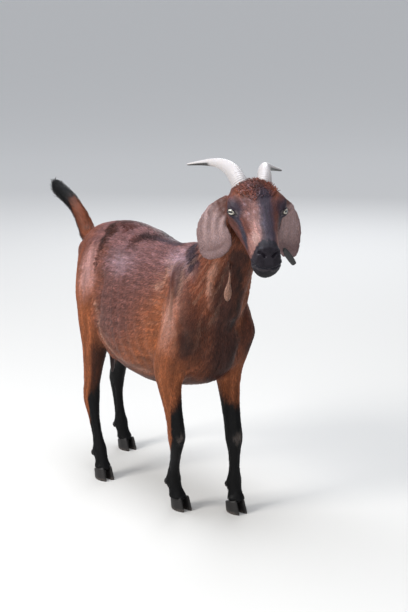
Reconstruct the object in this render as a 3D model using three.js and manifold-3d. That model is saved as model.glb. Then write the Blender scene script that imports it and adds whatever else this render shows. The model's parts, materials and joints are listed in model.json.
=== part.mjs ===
// A standing horned doe goat of Nubian cross type, life size, as a still museum model.
// Millimetres, +X to the goat's front, +Y to its left, +Z up, origin on the floor below its middle.
// Each part of flesh is a loft of oval rings about a curve, swollen by muscles, and the parts
// meet at thin gaps, where one is cut by a slightly grown copy of its neighbour.
import * as THREE from "three";
import { mergeVertices } from "three/addons/utils/BufferGeometryUtils.js";
import Module from "manifold-3d";

const wasm = await Module();
wasm.setup();

// ---- driving dimensions ----
const GAP = 0.3; // between neighbouring parts
const ORIGIN_X = -2.3; // of the box's middle, in the frame that the joints below are given in
const ORIGIN_Y = 26;
const CLEFT = 2; // between a foot's two claws
const HEAD_AT = [424, -31, 775]; // midway between the eyes
const HEAD_YAW = -23.2; // degrees, to the goat's right
const HEAD_PITCH = 31; // of the line from poll to nose, below level
const HEAD_ROLL = -1.2; // the right side a little higher
const EYE_RADIUS = 13.5;
const EYE_AT = [0, 53, 6]; // of the left eye's centre in the head's own frame
const HORN_SKEW = 8; // the right horn's tip rides this much higher, the left one's lower
const HORN_SHIFT = 3; // of both horns to the right
const CLAW = { length: 54, width: 20, height: 34 };

// The joints that each leg runs through, from its top to its coronet: [x, out from the middle, z].
const LEGS = {
  foreleg_right: {
    side: -1,
    kind: "fore",
    toe: [118, 44],
    joints: [[154, 48, 646], [164, 68, 462], [128, 80, 345], [158, 82, 205], [104, 58, 82], [112, 47, 19]],
  },
  foreleg_left: {
    side: 1,
    kind: "fore",
    toe: [212, 56],
    joints: [[156, 48, 646], [172, 68, 462], [156, 66, 345], [195, 58, 190], [194, 61, 78], [206, 58, 19]],
  },
  hindleg_right: {
    side: -1,
    kind: "hind",
    toe: [-190, 88],
    joints: [[-268, 40, 640], [-272, 60, 505], [-240, 78, 372], [-250, 89, 210], [-210, 90, 78],
      [-196, 88, 19]],
  },
  hindleg_left: {
    side: 1,
    kind: "hind",
    toe: [-378, 90],
    joints: [[-268, 40, 640], [-288, 60, 505], [-312, 75, 372], [-408, 79, 211], [-398, 82, 78],
      [-384, 89, 19]],
  },
};

// Ring sizes down a leg: [joint number, to the front, to the back, outwards, inwards].
const LEG_RINGS = {
  fore: [
    [0, 20, 20, 14, 14], [0.25, 44, 42, 27, 26], [0.6, 62, 60, 35, 32], [1, 74, 74, 40, 34],
    [1.4, 66, 72, 42, 32], [1.75, 53, 62, 40, 29], [2, 41, 48, 34, 27], [2.3, 32, 33, 26, 22],
    [2.65, 25, 26, 20, 19], [2.9, 24, 24, 20, 20], [3.02, 24, 23, 21, 20], [3.2, 19, 20, 16, 16],
    [3.45, 15, 16, 13, 13], [3.75, 14, 16, 13, 13], [3.92, 16, 18, 15, 15], [4.05, 16, 19, 16, 16],
    [4.5, 17, 18, 17, 17], [4.82, 25, 24, 24, 24], [5, 25, 24, 24, 24],
  ],
  hind: [
    [0, 54, 52, 20, 20], [0.3, 82, 70, 33, 30], [0.65, 92, 76, 41, 36], [1, 94, 75, 44, 38],
    [1.4, 86, 74, 43, 38], [1.75, 70, 67, 39, 36], [2, 56, 58, 35, 33], [2.3, 39, 42, 27, 27],
    [2.6, 31, 33, 21, 21], [2.85, 26, 33, 18, 18], [2.98, 26, 37, 18, 18], [3.12, 25, 31, 17, 17],
    [3.3, 20, 21, 14, 14], [3.6, 16, 17, 12, 12], [3.88, 17, 18, 14, 14], [4.02, 18, 20, 16, 16],
    [4.5, 17, 18, 17, 17], [4.82, 25, 24, 24, 24], [5, 25, 24, 24, 24],
  ],
};

// ---- helpers ----
const radians = THREE.MathUtils.degToRad;

// A smooth value through a table's rows at t, where each row starts with its own t.
function along(rows, t, column) {
  let i = 0;
  while (i < rows.length - 2 && t > rows[i + 1][0]) i += 1;
  const before = rows[Math.max(i - 1, 0)];
  const [a, b] = [rows[i], rows[i + 1]];
  const after = rows[Math.min(i + 2, rows.length - 1)];
  const span = b[0] - a[0];
  const slope = (p, q) => ((q[column] - p[column]) / (q[0] - p[0])) * span;
  const u = THREE.MathUtils.clamp((t - a[0]) / span, 0, 1);
  const [m0, m1] = [slope(before, b), slope(a, after)];
  const [u2, u3] = [u * u, u * u * u];
  return (
    a[column] * (2 * u3 - 3 * u2 + 1) + m0 * (u3 - 2 * u2 + u) +
    b[column] * (3 * u2 - 2 * u3) + m1 * (u3 - u2)
  );
}

// A sphere's vertices moved to place(turn, share): turn round the ring, share from one pole to the other.
function wrapped(around, rings, place) {
  const sphere = new THREE.SphereGeometry(1, around, rings);
  sphere.deleteAttribute("normal");
  sphere.deleteAttribute("uv");
  const geometry = mergeVertices(sphere, 1e-4);
  const at = geometry.getAttribute("position");
  for (let i = 0; i < at.count; i += 1) {
    const share = Math.acos(THREE.MathUtils.clamp(at.getY(i), -1, 1)) / Math.PI;
    const turn = Math.atan2(at.getZ(i), -at.getX(i));
    const p = place(turn, share);
    at.setXYZ(i, p.x, p.y, p.z);
  }
  return geometry;
}

// Rounds a loft's two ends: the share of the full ring size at a place between them.
function endRound(share, first, last) {
  const dome = (d) => (d >= 1 ? 1 : Math.sqrt(Math.max(0, 1 - (1 - d) ** 2)));
  return dome(share / first) * dome((1 - share) / last);
}

// A closed geometry as a solid, turned right side out where its mapping mirrored it.
function solid(geometry) {
  const vertProperties = new Float32Array(geometry.getAttribute("position").array);
  const triVerts = new Uint32Array(geometry.index.array);
  const made = new wasm.Manifold(new wasm.Mesh({ numProp: 3, vertProperties, triVerts }));
  if (made.volume() > 0) return made;
  for (let i = 0; i < triVerts.length; i += 3) {
    [triVerts[i], triVerts[i + 1]] = [triVerts[i + 1], triVerts[i]];
  }
  return new wasm.Manifold(new wasm.Mesh({ numProp: 3, vertProperties, triVerts }));
}

// The body with the most volume, so that no sliver of a cut stays.
function biggest(made) {
  return made.decompose().reduce((a, b) => (b.volume() > a.volume() ? b : a));
}

// Muscles and hollows: each pushes a point outwards by its height, fading over its radius.
function swell(point, outward, bumps) {
  let push = 0;
  for (const { at, radius, height } of bumps) {
    const d = point.distanceToSquared(at) / (radius * radius);
    push += height * Math.exp(-d);
  }
  return point.addScaledVector(outward, push);
}

function bump(x, y, z, radius, height) {
  return { at: new THREE.Vector3(x, y, z), radius, height };
}

function bothSides(x, y, z, radius, height) {
  return [bump(x, y, z, radius, height), bump(x, -y, z, radius, height)];
}

// A ring of four quarter ovals about a centre: up, down, left and right sizes, with a squareness
// for its upper and its lower half.
function ringPoint(centre, up, left, sizes, turn, square, roundness) {
  const [c, s] = [Math.cos(turn), Math.sin(turn)];
  const power = 2 / (c > 0 ? square[0] : square[1]);
  const u = Math.sign(c) * Math.abs(c) ** power * (c > 0 ? sizes[0] : sizes[1]);
  const v = Math.sign(s) * Math.abs(s) ** power * (s > 0 ? sizes[2] : sizes[3]);
  return centre.clone().addScaledVector(up, u * roundness).addScaledVector(left, v * roundness);
}

const X = new THREE.Vector3(1, 0, 0);
const Y = new THREE.Vector3(0, 1, 0);
const Z = new THREE.Vector3(0, 0, 1);

// Even shares of the way, a little closer at both ends, where a loft is rounded.
function eased(share) {
  return 0.55 * share + (0.45 * (1 - Math.cos(Math.PI * share))) / 2;
}

// ---- trunk ----
// [x, top of the back, bottom of the chest or belly, half the width, height of the widest place]
const TRUNK_RINGS = [
  [-392, 604, 532, 34, 572], [-372, 628, 490, 58, 566], [-340, 645, 442, 74, 552],
  [-290, 659, 394, 84, 522], [-235, 670, 346, 94, 484], [-190, 675, 318, 106, 455],
  [-140, 676, 300, 116, 440], [-80, 671, 289, 119, 432], [-20, 658, 286, 116, 430],
  [40, 652, 292, 108, 440], [95, 661, 303, 99, 450], [136, 668, 314, 95, 458],
  [175, 654, 326, 92, 464], [208, 626, 344, 85, 464], [238, 596, 368, 70, 462],
  [260, 552, 404, 40, 466],
];
const TRUNK_BUMPS = [
  ...bothSides(-196, 72, 640, 26, 9), // hip bones
  ...bothSides(-372, 44, 578, 24, 5), // pin bones
  ...bothSides(-150, 104, 560, 46, -10), // hollow of the flank
  ...bothSides(-70, 118, 380, 90, 4), // belly
  ...bothSides(150, 40, 655, 30, 4), // blade tops
];

function trunkSolid(grow) {
  const [first, last] = [TRUNK_RINGS[0][0], TRUNK_RINGS.at(-1)[0]];
  return solid(wrapped(18, 19, (turn, share) => {
    const x = first - grow + (last - first + 2 * grow) * eased(share);
    const [top, bottom, half, wide] = [1, 2, 3, 4].map((c) => along(TRUNK_RINGS, x, c));
    const sizes = [top - wide + grow, wide - bottom + grow, half + grow, half + grow];
    const p = ringPoint(new THREE.Vector3(x, 0, wide), Z, Y, sizes, turn, [1.85, 2.1],
      endRound(share, 0.14, 0.14));
    const outward = new THREE.Vector3(0, Math.sin(turn), Math.cos(turn));
    return swell(p, outward, TRUNK_BUMPS);
  }));
}

// ---- legs ----
function legSolid(name, grow) {
  const { side, kind, joints } = LEGS[name];
  const spine = joints.map(([x, y, z], i) => [i, x, y * side, z]);
  const rings = LEG_RINGS[kind];
  const end = joints.length - 1;
  return solid(wrapped(12, 20, (turn, share) => {
    const t = end * (0.35 * share + 0.65 * eased(share));
    const centre = new THREE.Vector3(...[1, 2, 3].map((c) => along(spine, t, c)));
    centre.z += grow * (1 - 2 * share) * 1.2;
    const [front, back, out, inwards] = [1, 2, 3, 4].map((c) => along(rings, t, c) + grow);
    const sizes = side > 0 ? [front, back, out, inwards] : [front, back, inwards, out];
    return ringPoint(centre, X, Y, sizes, turn, [2, 2], endRound(share, 0.1, 0.05));
  }));
}

// ---- head, in its own frame: x along the line from poll to nose, y left, z up from that line ----
// [x, top, bottom, half the width, height of the widest place]
const HEAD_RINGS = [
  [-100, 2, -36, 28, -14], [-84, 28, -66, 46, -10], [-64, 41, -79, 54, -2],
  [-40, 44, -82, 58, 4], [-16, 42, -80, 60, 8], [4, 38, -78, 57, 4], [22, 33, -75, 49, -6],
  [46, 30, -70, 42, -14], [74, 29, -65, 37, -18], [102, 28, -60, 32, -18],
  [124, 26, -57, 30, -18], [142, 21, -57, 30, -20], [155, 10, -54, 26, -22],
  [163, -6, -44, 17, -24],
];
const HEAD_BUMPS = [
  ...bothSides(-18, 60, 19, 19, 9), // brow over the eye
  ...bothSides(-38, 50, -42, 26, 5), // cheek
  ...bothSides(66, 34, -24, 24, -4), // hollow before the cheek
  ...bothSides(-46, 56, 12, 16, -4), // temple
  ...bothSides(146, 22, 8, 11, 3), // nostril wing
  ...bothSides(140, 26, -28, 16, 3), // lip
  bump(146, 0, -58, 16, 3), // chin
];

function headSolid(grow) {
  const [first, last] = [HEAD_RINGS[0][0], HEAD_RINGS.at(-1)[0]];
  return wrapped(20, 23, (turn, share) => {
    const x = first - grow + (last - first + 2 * grow) * eased(share);
    const [top, bottom, half, wide] = [1, 2, 3, 4].map((c) => along(HEAD_RINGS, x, c));
    const sizes = [top - wide + grow, wide - bottom + grow, half + grow, half + grow];
    const p = ringPoint(new THREE.Vector3(x, 0, wide), Z, Y, sizes, turn, [2.45, 2.2],
      endRound(share, 0.14, 0.12));
    const outward = new THREE.Vector3(0, Math.sin(turn), Math.cos(turn));
    return swell(p, outward, HEAD_BUMPS);
  });
}

// The head's frame: its yaw alone for what hangs from it, and its pitch too for the skull.
const headYaw = new THREE.Matrix4()
  .makeTranslation(...HEAD_AT)
  .multiply(new THREE.Matrix4().makeRotationZ(radians(HEAD_YAW)))
  .multiply(new THREE.Matrix4().makeRotationX(radians(HEAD_ROLL)));
const headTurn = headYaw.clone().multiply(new THREE.Matrix4().makeRotationY(radians(HEAD_PITCH)));

// ---- a tapering bar or leaf along a curve ----
// rows: [share, half size along the side direction, half size across it]; cup: how much the leaf
// is hollowed, as a share of its half width.
function barSolid({ points, rows, side, around, rings, first, last, grow = 0, matrix, cup = 0 }) {
  const corners = points.map((p) => new THREE.Vector3(...p));
  const curve = new THREE.CatmullRomCurve3(corners, false, "centripetal");
  const geometry = wrapped(around, rings, (turn, share) => {
    const t = eased(share);
    const centre = curve.getPointAt(t);
    const tangent = curve.getTangentAt(t);
    const wideWay = side.clone().addScaledVector(tangent, -side.dot(tangent)).normalize();
    const thinWay = tangent.clone().cross(wideWay);
    const [wide, thin] = [along(rows, t, 1) + grow, along(rows, t, 2) + grow];
    const p = ringPoint(centre, wideWay, thinWay, [wide, wide, thin, thin], turn, [2, 2],
      endRound(share, first, last));
    const off = p.clone().sub(centre).dot(wideWay) / wide;
    return p.addScaledVector(thinWay, cup * wide * off * off);
  });
  if (matrix) geometry.applyMatrix4(matrix);
  return solid(geometry);
}

const vector = (x, y, z) => new THREE.Vector3(x, y, z);

// ---- neck ----
function neckSolid(grow) {
  return barSolid({
    points: [[132, 0, 500], [190, 0, 566], [246, 1, 634], [300, 2, 702], [338, 2, 752], [362, -2, 790]],
    rows: [[0, 92, 60], [0.22, 112, 72], [0.45, 88, 61], [0.7, 68, 50], [0.9, 57, 46], [1, 46, 42]],
    side: vector(-0.75, 0, 0.6), around: 16, rings: 12, first: 0.1, last: 0.16, grow,
  });
}

// ---- tail ----
function tailSolid(grow) {
  return barSolid({
    points: [[-362, 0, 590], [-406, 0, 604], [-428, -4, 642], [-458, -10, 676], [-496, -14, 698],
      [-530, -18, 712], [-558, -22, 734]],
    rows: [[0, 24, 30], [0.25, 20, 22], [0.5, 16, 17], [0.75, 16, 17], [1, 11, 13]],
    side: vector(0, 1, 0), around: 8, rings: 12, first: 0.1, last: 0.12, grow,
  });
}

// ---- udder: a small dry bag with two teats ----
const BAG = { x: -266, z: 344, length: 46, width: 40, height: 44 }; // its middle and half sizes

function udderSolid(grow) {
  const bag = solid(wrapped(10, 8, (turn, share) => {
    const lift = Math.cos(Math.PI * share);
    const ring = Math.sin(Math.PI * share);
    return new THREE.Vector3(
      BAG.x + (BAG.length + grow) * ring * Math.cos(turn),
      (BAG.width + grow) * ring * Math.sin(turn),
      BAG.z + (BAG.height + grow) * lift,
    );
  }));
  const teats = [-1, 1].map((side) => barSolid({
    points: [[-258, 20 * side, 312], [-252, 24 * side, 286], [-248, 27 * side, 258]],
    rows: [[0, 10, 10], [0.6, 7.5, 7.5], [1, 6, 6]],
    side: vector(1, 0, 0), around: 8, rings: 6, first: 0.1, last: 0.2, grow,
  }));
  return bag.add(teats[0]).add(teats[1]);
}

// ---- horns, in the head's yaw frame: back, out and up from the middle of the eyes ----
function hornSolid(side, grow) {
  const at = ([x, y, z]) => [x, y * side - HORN_SHIFT, z - (side * HORN_SKEW * x) / -260];
  return barSolid({
    points: [[-44, 24, 42], [-62, 30, 64], [-92, 36, 77], [-135, 45, 84], [-182, 59, 84], [-226, 84, 77],
      [-260, 113, 68]].map(at),
    rows: [[0, 20.5, 15], [0.2, 19.5, 14.5], [0.45, 14.5, 12], [0.75, 8.5, 7], [1, 3, 2.6]],
    side: vector(0.5, 0, 1), around: 10, rings: 12, first: 0.06, last: 0.03, grow, matrix: headYaw,
  });
}

// ---- ears ----
function earSolid(side, grow) {
  const at = ([x, y, z]) => [x, y * side, z];
  return barSolid({
    points: [[-46, 50, 24], [-54, 64, 14], [-64, 80, -12], [-68, 85, -46], [-60, 79, -80],
      [-46, 70, -108]].map(at),
    rows: [[0, 14, 7], [0.16, 19, 5], [0.36, 32, 3.4], [0.6, 45, 3], [0.82, 46, 2.8], [1, 33, 2.6]],
    side: vector(-0.62, 0.78 * side, 0), around: 12, rings: 12, first: 0.06, last: 0.22, grow,
    matrix: headYaw, cup: 0.12 * side,
  });
}

// ---- eyes ----
function eyeSolid(side, grow) {
  const ball = new THREE.SphereGeometry(EYE_RADIUS + grow, 12, 8);
  ball.deleteAttribute("normal");
  ball.deleteAttribute("uv");
  const placed = mergeVertices(ball, 1e-4).translate(EYE_AT[0], EYE_AT[1] * side, EYE_AT[2]);
  return solid(placed.applyMatrix4(headTurn));
}

// ---- wattle ----
function wattleSolid(grow) {
  return barSolid({
    points: [[306, -30, 662], [316, -36, 644], [320, -38, 616], [318, -40, 588], [316, -42, 562]],
    rows: [[0, 6, 6], [0.3, 4.5, 4.5], [0.6, 5.5, 5.5], [0.85, 9.5, 9.5], [1, 9, 9]],
    side: vector(1, 0, 0), around: 8, rings: 10, first: 0.1, last: 0.18, grow,
  });
}

// ---- claws: flat soled, pointed at the toe ----
const CLAW_TAPER = 0.2; // how much shorter a claw's top is than its sole
const CLAW_LEAN = 0.28; // how far its top lies back, as a share of its height
const CLAW_POINT = 0.38; // how much narrower it is at the toe
const CLAW_HEEL = 0.84; // its height at its middle, as a share of that at its toe
const CLAW_FLAT = 0.8; // its half width on the side of the cleft, as a share
const CLAW_FULL = 1.1; // and on the other side

// A claw centred at x, y; outward is 1 or -1, the side of Y that the foot's outer wall faces.
function clawGeometry(x, y, outward, grow) {
  const block = new THREE.CylinderGeometry(1, 1, 1, 12, 2);
  block.deleteAttribute("normal");
  block.deleteAttribute("uv");
  const geometry = mergeVertices(block, 1e-4);
  const at = geometry.getAttribute("position");
  for (let i = 0; i < at.count; i += 1) {
    const [fore, across, up] = [at.getX(i), at.getZ(i), at.getY(i) + 0.5];
    const length = fore * (CLAW.length / 2 + grow) * (1 - CLAW_TAPER * up);
    const lean = up * CLAW.height * CLAW_LEAN;
    const narrow = (1 - CLAW_POINT * Math.max(fore, 0) ** 2) * (1 - 0.6 * CLAW_TAPER * up);
    const half = (CLAW.width / 2 + grow) * (across * outward > 0 ? CLAW_FLAT : CLAW_FULL) * narrow;
    const rise = up * (CLAW.height * (CLAW_HEEL + (1 - CLAW_HEEL) * fore) + 2 * grow) - grow;
    at.setXYZ(i, x + length - lean, y - across * half, rise);
  }
  return geometry;
}

function clawsOf(name, grow) {
  const { side, toe } = LEGS[name];
  const apart = (CLAW.width + CLEFT) / 2;
  return [-1, 1].map((place) =>
    solid(clawGeometry(toe[0], toe[1] * side + place * apart, place, grow)));
}

function dewclawsOf(name, grow) {
  const { side, joints } = LEGS[name];
  const [x, y, z] = joints[4];
  return [-1, 1].map((place) => barSolid({
    points: [[x - 14, y * side + place * 8, z - 8], [x - 20, y * side + place * 9, z - 15],
      [x - 23, y * side + place * 9, z - 24]],
    rows: [[0, 6, 6], [0.6, 5.5, 5], [1, 4, 4]],
    side: vector(0, 1, 0), around: 6, rings: 4, first: 0.15, last: 0.25, grow,
  }));
}

// ---- ear tag ----
function tagSolid() {
  return barSolid({
    points: [[-45, 70, -88], [-48, 85, -107], [-55, 100, -127]],
    rows: [[0, 7, 1.6], [0.5, 7, 1.6], [1, 7, 1.6]],
    side: vector(0.2, 1, 0.8), around: 8, rings: 7, first: 0.12, last: 0.12, matrix: headYaw,
  });
}

// ---- materials ----
const finish = (color, roughness) => new THREE.MeshStandardMaterial({ color, roughness, metalness: 0 });
const bay = finish("#6b3423", 0.5);
const dark = finish("#241d1f", 0.55);
const mauve = finish("#8a6f6a", 0.7);
const ivory = finish("#cdbfae", 0.45);
const hoof = finish("#2a2625", 0.6);
const iris = finish("#c9c2a0", 0.15);
const plastic = finish("#141414", 0.4);

// ---- assembly ----
const goat = new THREE.Group();
goat.position.set(-ORIGIN_X, -ORIGIN_Y, 0);

function addPart(name, made, material) {
  const { vertProperties, triVerts } = biggest(made).getMesh();
  const geometry = new THREE.BufferGeometry();
  geometry.setAttribute("position", new THREE.BufferAttribute(vertProperties, 3));
  geometry.setIndex(new THREE.BufferAttribute(triVerts, 1));
  const mesh = new THREE.Mesh(geometry, material);
  mesh.name = name;
  goat.add(mesh);
}

const head = (grow) => solid(headSolid(grow).applyMatrix4(headTurn));
const legNames = Object.keys(LEGS);
const hindNames = legNames.filter((name) => LEGS[name].kind === "hind");
const sides = { right: -1, left: 1 };

// A solid less each of the others.
function less(made, cutters) {
  return cutters.reduce((rest, cutter) => rest.subtract(cutter), made);
}

for (const name of legNames) {
  const [claws, dewclaws] = [clawsOf(name, 0), dewclawsOf(name, 0)];
  addPart(name, less(legSolid(name, 0), [...clawsOf(name, GAP), ...dewclawsOf(name, GAP)]), bay);
  const words = LEGS[name].side > 0 ? ["inner", "outer"] : ["outer", "inner"];
  words.forEach((word, i) => {
    addPart(`claw_${name}_${word}`, claws[i], hoof);
    addPart(`dewclaw_${name}_${word}`, dewclaws[i], hoof);
  });
}

const grownLegs = legNames.map((name) => legSolid(name, GAP));
const grownHindLegs = hindNames.map((name) => legSolid(name, GAP));
addPart("trunk", less(trunkSolid(0), [...grownLegs, tailSolid(GAP), udderSolid(GAP)]), bay);
addPart("tail", tailSolid(0), dark);
addPart("udder", less(udderSolid(0), grownHindLegs), dark);
const neckCutters = [...grownLegs, trunkSolid(GAP), head(GAP), wattleSolid(GAP)];
addPart("neck", less(neckSolid(0), neckCutters), bay);

const headCutters = [wattleSolid(GAP)];
for (const [word, side] of Object.entries(sides)) {
  headCutters.push(eyeSolid(side, GAP), hornSolid(side, GAP));
  addPart(`eye_${word}`, eyeSolid(side, 0), iris);
  addPart(`horn_${word}`, hornSolid(side, 0), ivory);
  addPart(`ear_${word}`, less(earSolid(side, 0), [head(GAP), neckSolid(GAP)]), mauve);
}
addPart("head", less(head(0), headCutters), bay);
addPart("wattle_right", wattleSolid(0), bay);
addPart("ear_tag", less(tagSolid(), [earSolid(1, GAP)]), plastic);

export default goat;
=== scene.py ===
# %% [markdown]
# # A standing goat
# A life-size goat for a museum stand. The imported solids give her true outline, and this script
# gives her the looks: one smooth skin, a short coat of real tufts, eyes, horns and hooves.
# Everything is in metres, with the goat's front towards +X, her left towards +Y and up along +Z.

# %% Load the frame
import json
import math
import bmesh
import bpy
import numpy as np
from mathutils import Matrix, Vector
from mathutils.bvhtree import BVHTree

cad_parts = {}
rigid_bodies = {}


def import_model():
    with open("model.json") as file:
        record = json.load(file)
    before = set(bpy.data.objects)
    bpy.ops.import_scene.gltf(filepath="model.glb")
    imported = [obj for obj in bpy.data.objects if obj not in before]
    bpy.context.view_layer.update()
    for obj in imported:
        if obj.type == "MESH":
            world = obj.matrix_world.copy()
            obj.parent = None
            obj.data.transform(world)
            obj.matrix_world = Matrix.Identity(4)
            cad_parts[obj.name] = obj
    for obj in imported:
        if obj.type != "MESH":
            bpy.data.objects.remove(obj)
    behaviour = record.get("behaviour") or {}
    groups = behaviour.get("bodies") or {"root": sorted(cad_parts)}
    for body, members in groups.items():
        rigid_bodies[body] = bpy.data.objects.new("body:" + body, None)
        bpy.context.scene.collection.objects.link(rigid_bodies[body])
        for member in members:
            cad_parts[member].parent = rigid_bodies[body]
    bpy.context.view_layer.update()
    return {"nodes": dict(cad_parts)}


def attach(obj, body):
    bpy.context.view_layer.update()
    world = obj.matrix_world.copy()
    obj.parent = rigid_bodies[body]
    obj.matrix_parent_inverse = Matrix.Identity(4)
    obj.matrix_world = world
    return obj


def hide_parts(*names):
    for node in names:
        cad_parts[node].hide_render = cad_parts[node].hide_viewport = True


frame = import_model()
nodes = frame["nodes"]
rng = np.random.default_rng(7)

# %% [markdown]
# The solids' box is centred on the floor's origin, but the goat's own middle plane isn't, because
# her head and one horn reach further to one side. All the shaping below is easier to write about
# her own middle plane, so points are moved by MIDDLE first, and back at the end.

# %% The goat's own frame, and the skull's
MIDDLE = np.array([-0.0023, 0.026, 0.0])  # add it to a point of the frame to get the goat's own
HEAD_AT = (0.424, -0.031, 0.775)  # midway between the eyes
HEAD_YAW, HEAD_ROLL, HEAD_PITCH = math.radians(-23.2), math.radians(-1.2), math.radians(31)
EYE_AT = (0.0, 0.053, 0.006)  # the left eye in the skull's frame
EYE_RADIUS = 0.0135
BOTH_SIDES = (("left", 1), ("right", -1))  # each side's name, and the sign of y there

yaw_frame = (Matrix.Translation(HEAD_AT) @ Matrix.Rotation(HEAD_YAW, 4, "Z")
             @ Matrix.Rotation(HEAD_ROLL, 4, "X"))
skull_frame = yaw_frame @ Matrix.Rotation(HEAD_PITCH, 4, "Y")


def in_frame(matrix, points):
    """The points as the given frame sees them."""
    m = np.array(matrix.inverted())
    return points @ m[:3, :3].T + m[:3, 3]


def from_frame(matrix, points):
    """Points of the given frame as the goat's own frame sees them."""
    m = np.array(matrix)
    return np.asarray(points, float) @ m[:3, :3].T + m[:3, 3]


def flipped(points, sign):
    """The points where sign is 1, or their mirror images across the middle plane where it's -1."""
    return points * np.array([1, sign, 1])


def folded(points):
    """The points with the right side folded over onto the left."""
    return np.column_stack([points[:, 0], np.abs(points[:, 1]), points[:, 2]])


print("nose tip:", from_frame(skull_frame, [0.163, 0, -0.02]).round(3))

# %% [markdown]
# ## Helpers for meshes as arrays
# A mesh's vertices can be read into one numpy array, changed all at once, and written back.
# That is far quicker than a Python loop, and it makes smoothing and sculpting short to write.

# %% Mesh helpers
MOST_NEIGHBOURS = 6  # a vertex may have more, but they are left out of the smoothing


def get_vectors(mesh, what):
    flat = np.empty(len(mesh.vertices) * 3, np.float32)
    mesh.vertices.foreach_get(what, flat)
    return flat.reshape(-1, 3).astype(float)


def get_points(mesh):
    return get_vectors(mesh, "co")


def get_normals(mesh):
    return get_vectors(mesh, "normal")


def set_points(mesh, points):
    mesh.vertices.foreach_set("co", np.asarray(points, np.float32).ravel())
    mesh.update()


def unit(vectors):
    return vectors / np.maximum(np.linalg.norm(vectors, axis=-1, keepdims=True), 1e-12)


def step(low, high, x):
    """0 below low, 1 above high, and a smooth ramp between them."""
    t = np.clip((x - low) / (high - low), 0, 1)
    return t * t * (3 - 2 * t)


def new_object(name, mesh):
    ob = bpy.data.objects.new(name, mesh)
    bpy.context.scene.collection.objects.link(ob)
    return ob


def mesh_from(bm, name):
    """Turns a bmesh into a mesh, and frees it."""
    mesh = bpy.data.meshes.new(name)
    bm.to_mesh(mesh)
    bm.free()
    return mesh


def add_to(whole, bm):
    """Adds a bmesh to the whole, and frees it."""
    mesh = mesh_from(bm, "part")
    whole.from_mesh(mesh)
    bpy.data.meshes.remove(mesh)


def merged_copy(names, grow):
    """One mesh of copies of these nodes, each grown a little so that neighbours run into each other."""
    whole = bmesh.new()
    for name in names:
        part = bmesh.new()
        part.from_mesh(nodes[name].data)
        bmesh.ops.remove_doubles(part, verts=part.verts, dist=1e-5)
        part.normal_update()
        for v in part.verts:
            v.co += v.normal * grow
        add_to(whole, part)
    return mesh_from(whole, "merged")


def remeshed(mesh, size):
    """The mesh rebuilt as one even closed surface of quads of this size."""
    ob = new_object("remesh", mesh)
    mod = ob.modifiers.new("Remesh", "REMESH")
    mod.mode = "VOXEL"
    mod.voxel_size = size
    made = bpy.data.meshes.new_from_object(ob.evaluated_get(bpy.context.evaluated_depsgraph_get()))
    bpy.data.objects.remove(ob)
    return made


def neighbour_table(mesh):
    """For each vertex the numbers of the vertices beside it, filled up with its own number."""
    edges = np.empty(len(mesh.edges) * 2, np.int32)
    mesh.edges.foreach_get("vertices", edges)
    edges = edges.reshape(-1, 2)
    ends = np.concatenate([edges, edges[:, ::-1]])
    ends = ends[np.argsort(ends[:, 0], kind="stable")]
    count = np.bincount(ends[:, 0], minlength=len(mesh.vertices))
    first = np.cumsum(count) - count
    column = np.arange(len(ends)) - first[ends[:, 0]]
    table = np.repeat(np.arange(len(mesh.vertices))[:, None], MOST_NEIGHBOURS, 1)
    kept = column < MOST_NEIGHBOURS
    table[ends[kept, 0], column[kept]] = ends[kept, 1]
    return table


def smooth(values, table, strength, rounds):
    """Moves each value towards its neighbours' mean, again and again."""
    values = values.astype(np.float32)
    for _ in range(rounds):
        values = values + strength * (values[table].mean(1) - values)
    return values.astype(float)


def smooth_in_size(points, table, strength, rounds):
    """Smooths, then adds back the smoothed loss, so that the body doesn't shrink."""
    soft = smooth(points, table, strength, rounds)
    return soft + smooth(points - soft, table, strength, rounds)


def smooth_partly(points, table, share, rounds):
    """Smooths the points whose share is 1, leaves those where it's 0, and mixes between."""
    return points + share[:, None] * (smooth(points, table, 0.5, rounds) - points)


# %% [markdown]
# ## The skin
# The flesh is many faceted solids with thin gaps. A voxel remesh turns them into one closed
# surface, and smoothing melts the facets. Big round forms need far more smoothing than a face
# does, so the trunk, neck and legs go first on a coarse grid. The head, ears and eyeballs join
# them after that, and a finer remesh makes the whole one skin. The eyeballs are part of it for
# now, so that the skin is drawn over them as closed lids, which are opened further on.

# %% Smooth the body on a coarse grid
LIMBS = ["foreleg_left", "foreleg_right", "hindleg_left", "hindleg_right"]
BODY = ["trunk", "neck", "tail", "udder"] + LIMBS
COARSE, FINE = 0.0050, 0.0024  # metres between the grid's points

body = remeshed(merged_copy(BODY, 0.0006), COARSE)
points = get_points(body) + MIDDLE
table = neighbour_table(body)
z = points[:, 2]
slender = np.clip(step(0.39, 0.30, z) + step(-0.37, -0.41, points[:, 0]) * step(0.55, 0.60, z), 0, 1)
strength = (0.5 - 0.42 * slender)[:, None]
points = smooth_in_size(points, table, strength, 80)
set_points(body, points - MIDDLE)
print("coarse body:", len(body.vertices), "vertices")

# %% Join the head and ears, on a fine grid
EAR_FULLER = 0.0014  # an ear's thin rim would be lost between the grid's points
LID = 0.0011  # thickness of the lids over the eyeballs

whole = bmesh.new()
whole.from_mesh(body)
for names, grow in ((["head"], 0.0004), (["ear_left", "ear_right"], EAR_FULLER),
                    (["eye_left", "eye_right"], LID)):
    whole.from_mesh(merged_copy(names, grow))
joined = mesh_from(whole, "joined")
skin_mesh = remeshed(joined, FINE)
points = get_points(skin_mesh) + MIDDLE
table = neighbour_table(skin_mesh)
print("fine skin:", len(skin_mesh.vertices), "vertices")

# %% [markdown]
# The eyelids and the muzzle need finer faces than the rest, so the faces near them are split
# before anything is shaped there. Splitting only where it's needed keeps the skin light.

# %% Split the faces round the eyes and on the muzzle
EYES = {side: from_frame(skull_frame, [EYE_AT[0], EYE_AT[1] * sign, EYE_AT[2]])
        for side, sign in BOTH_SIDES}


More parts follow.
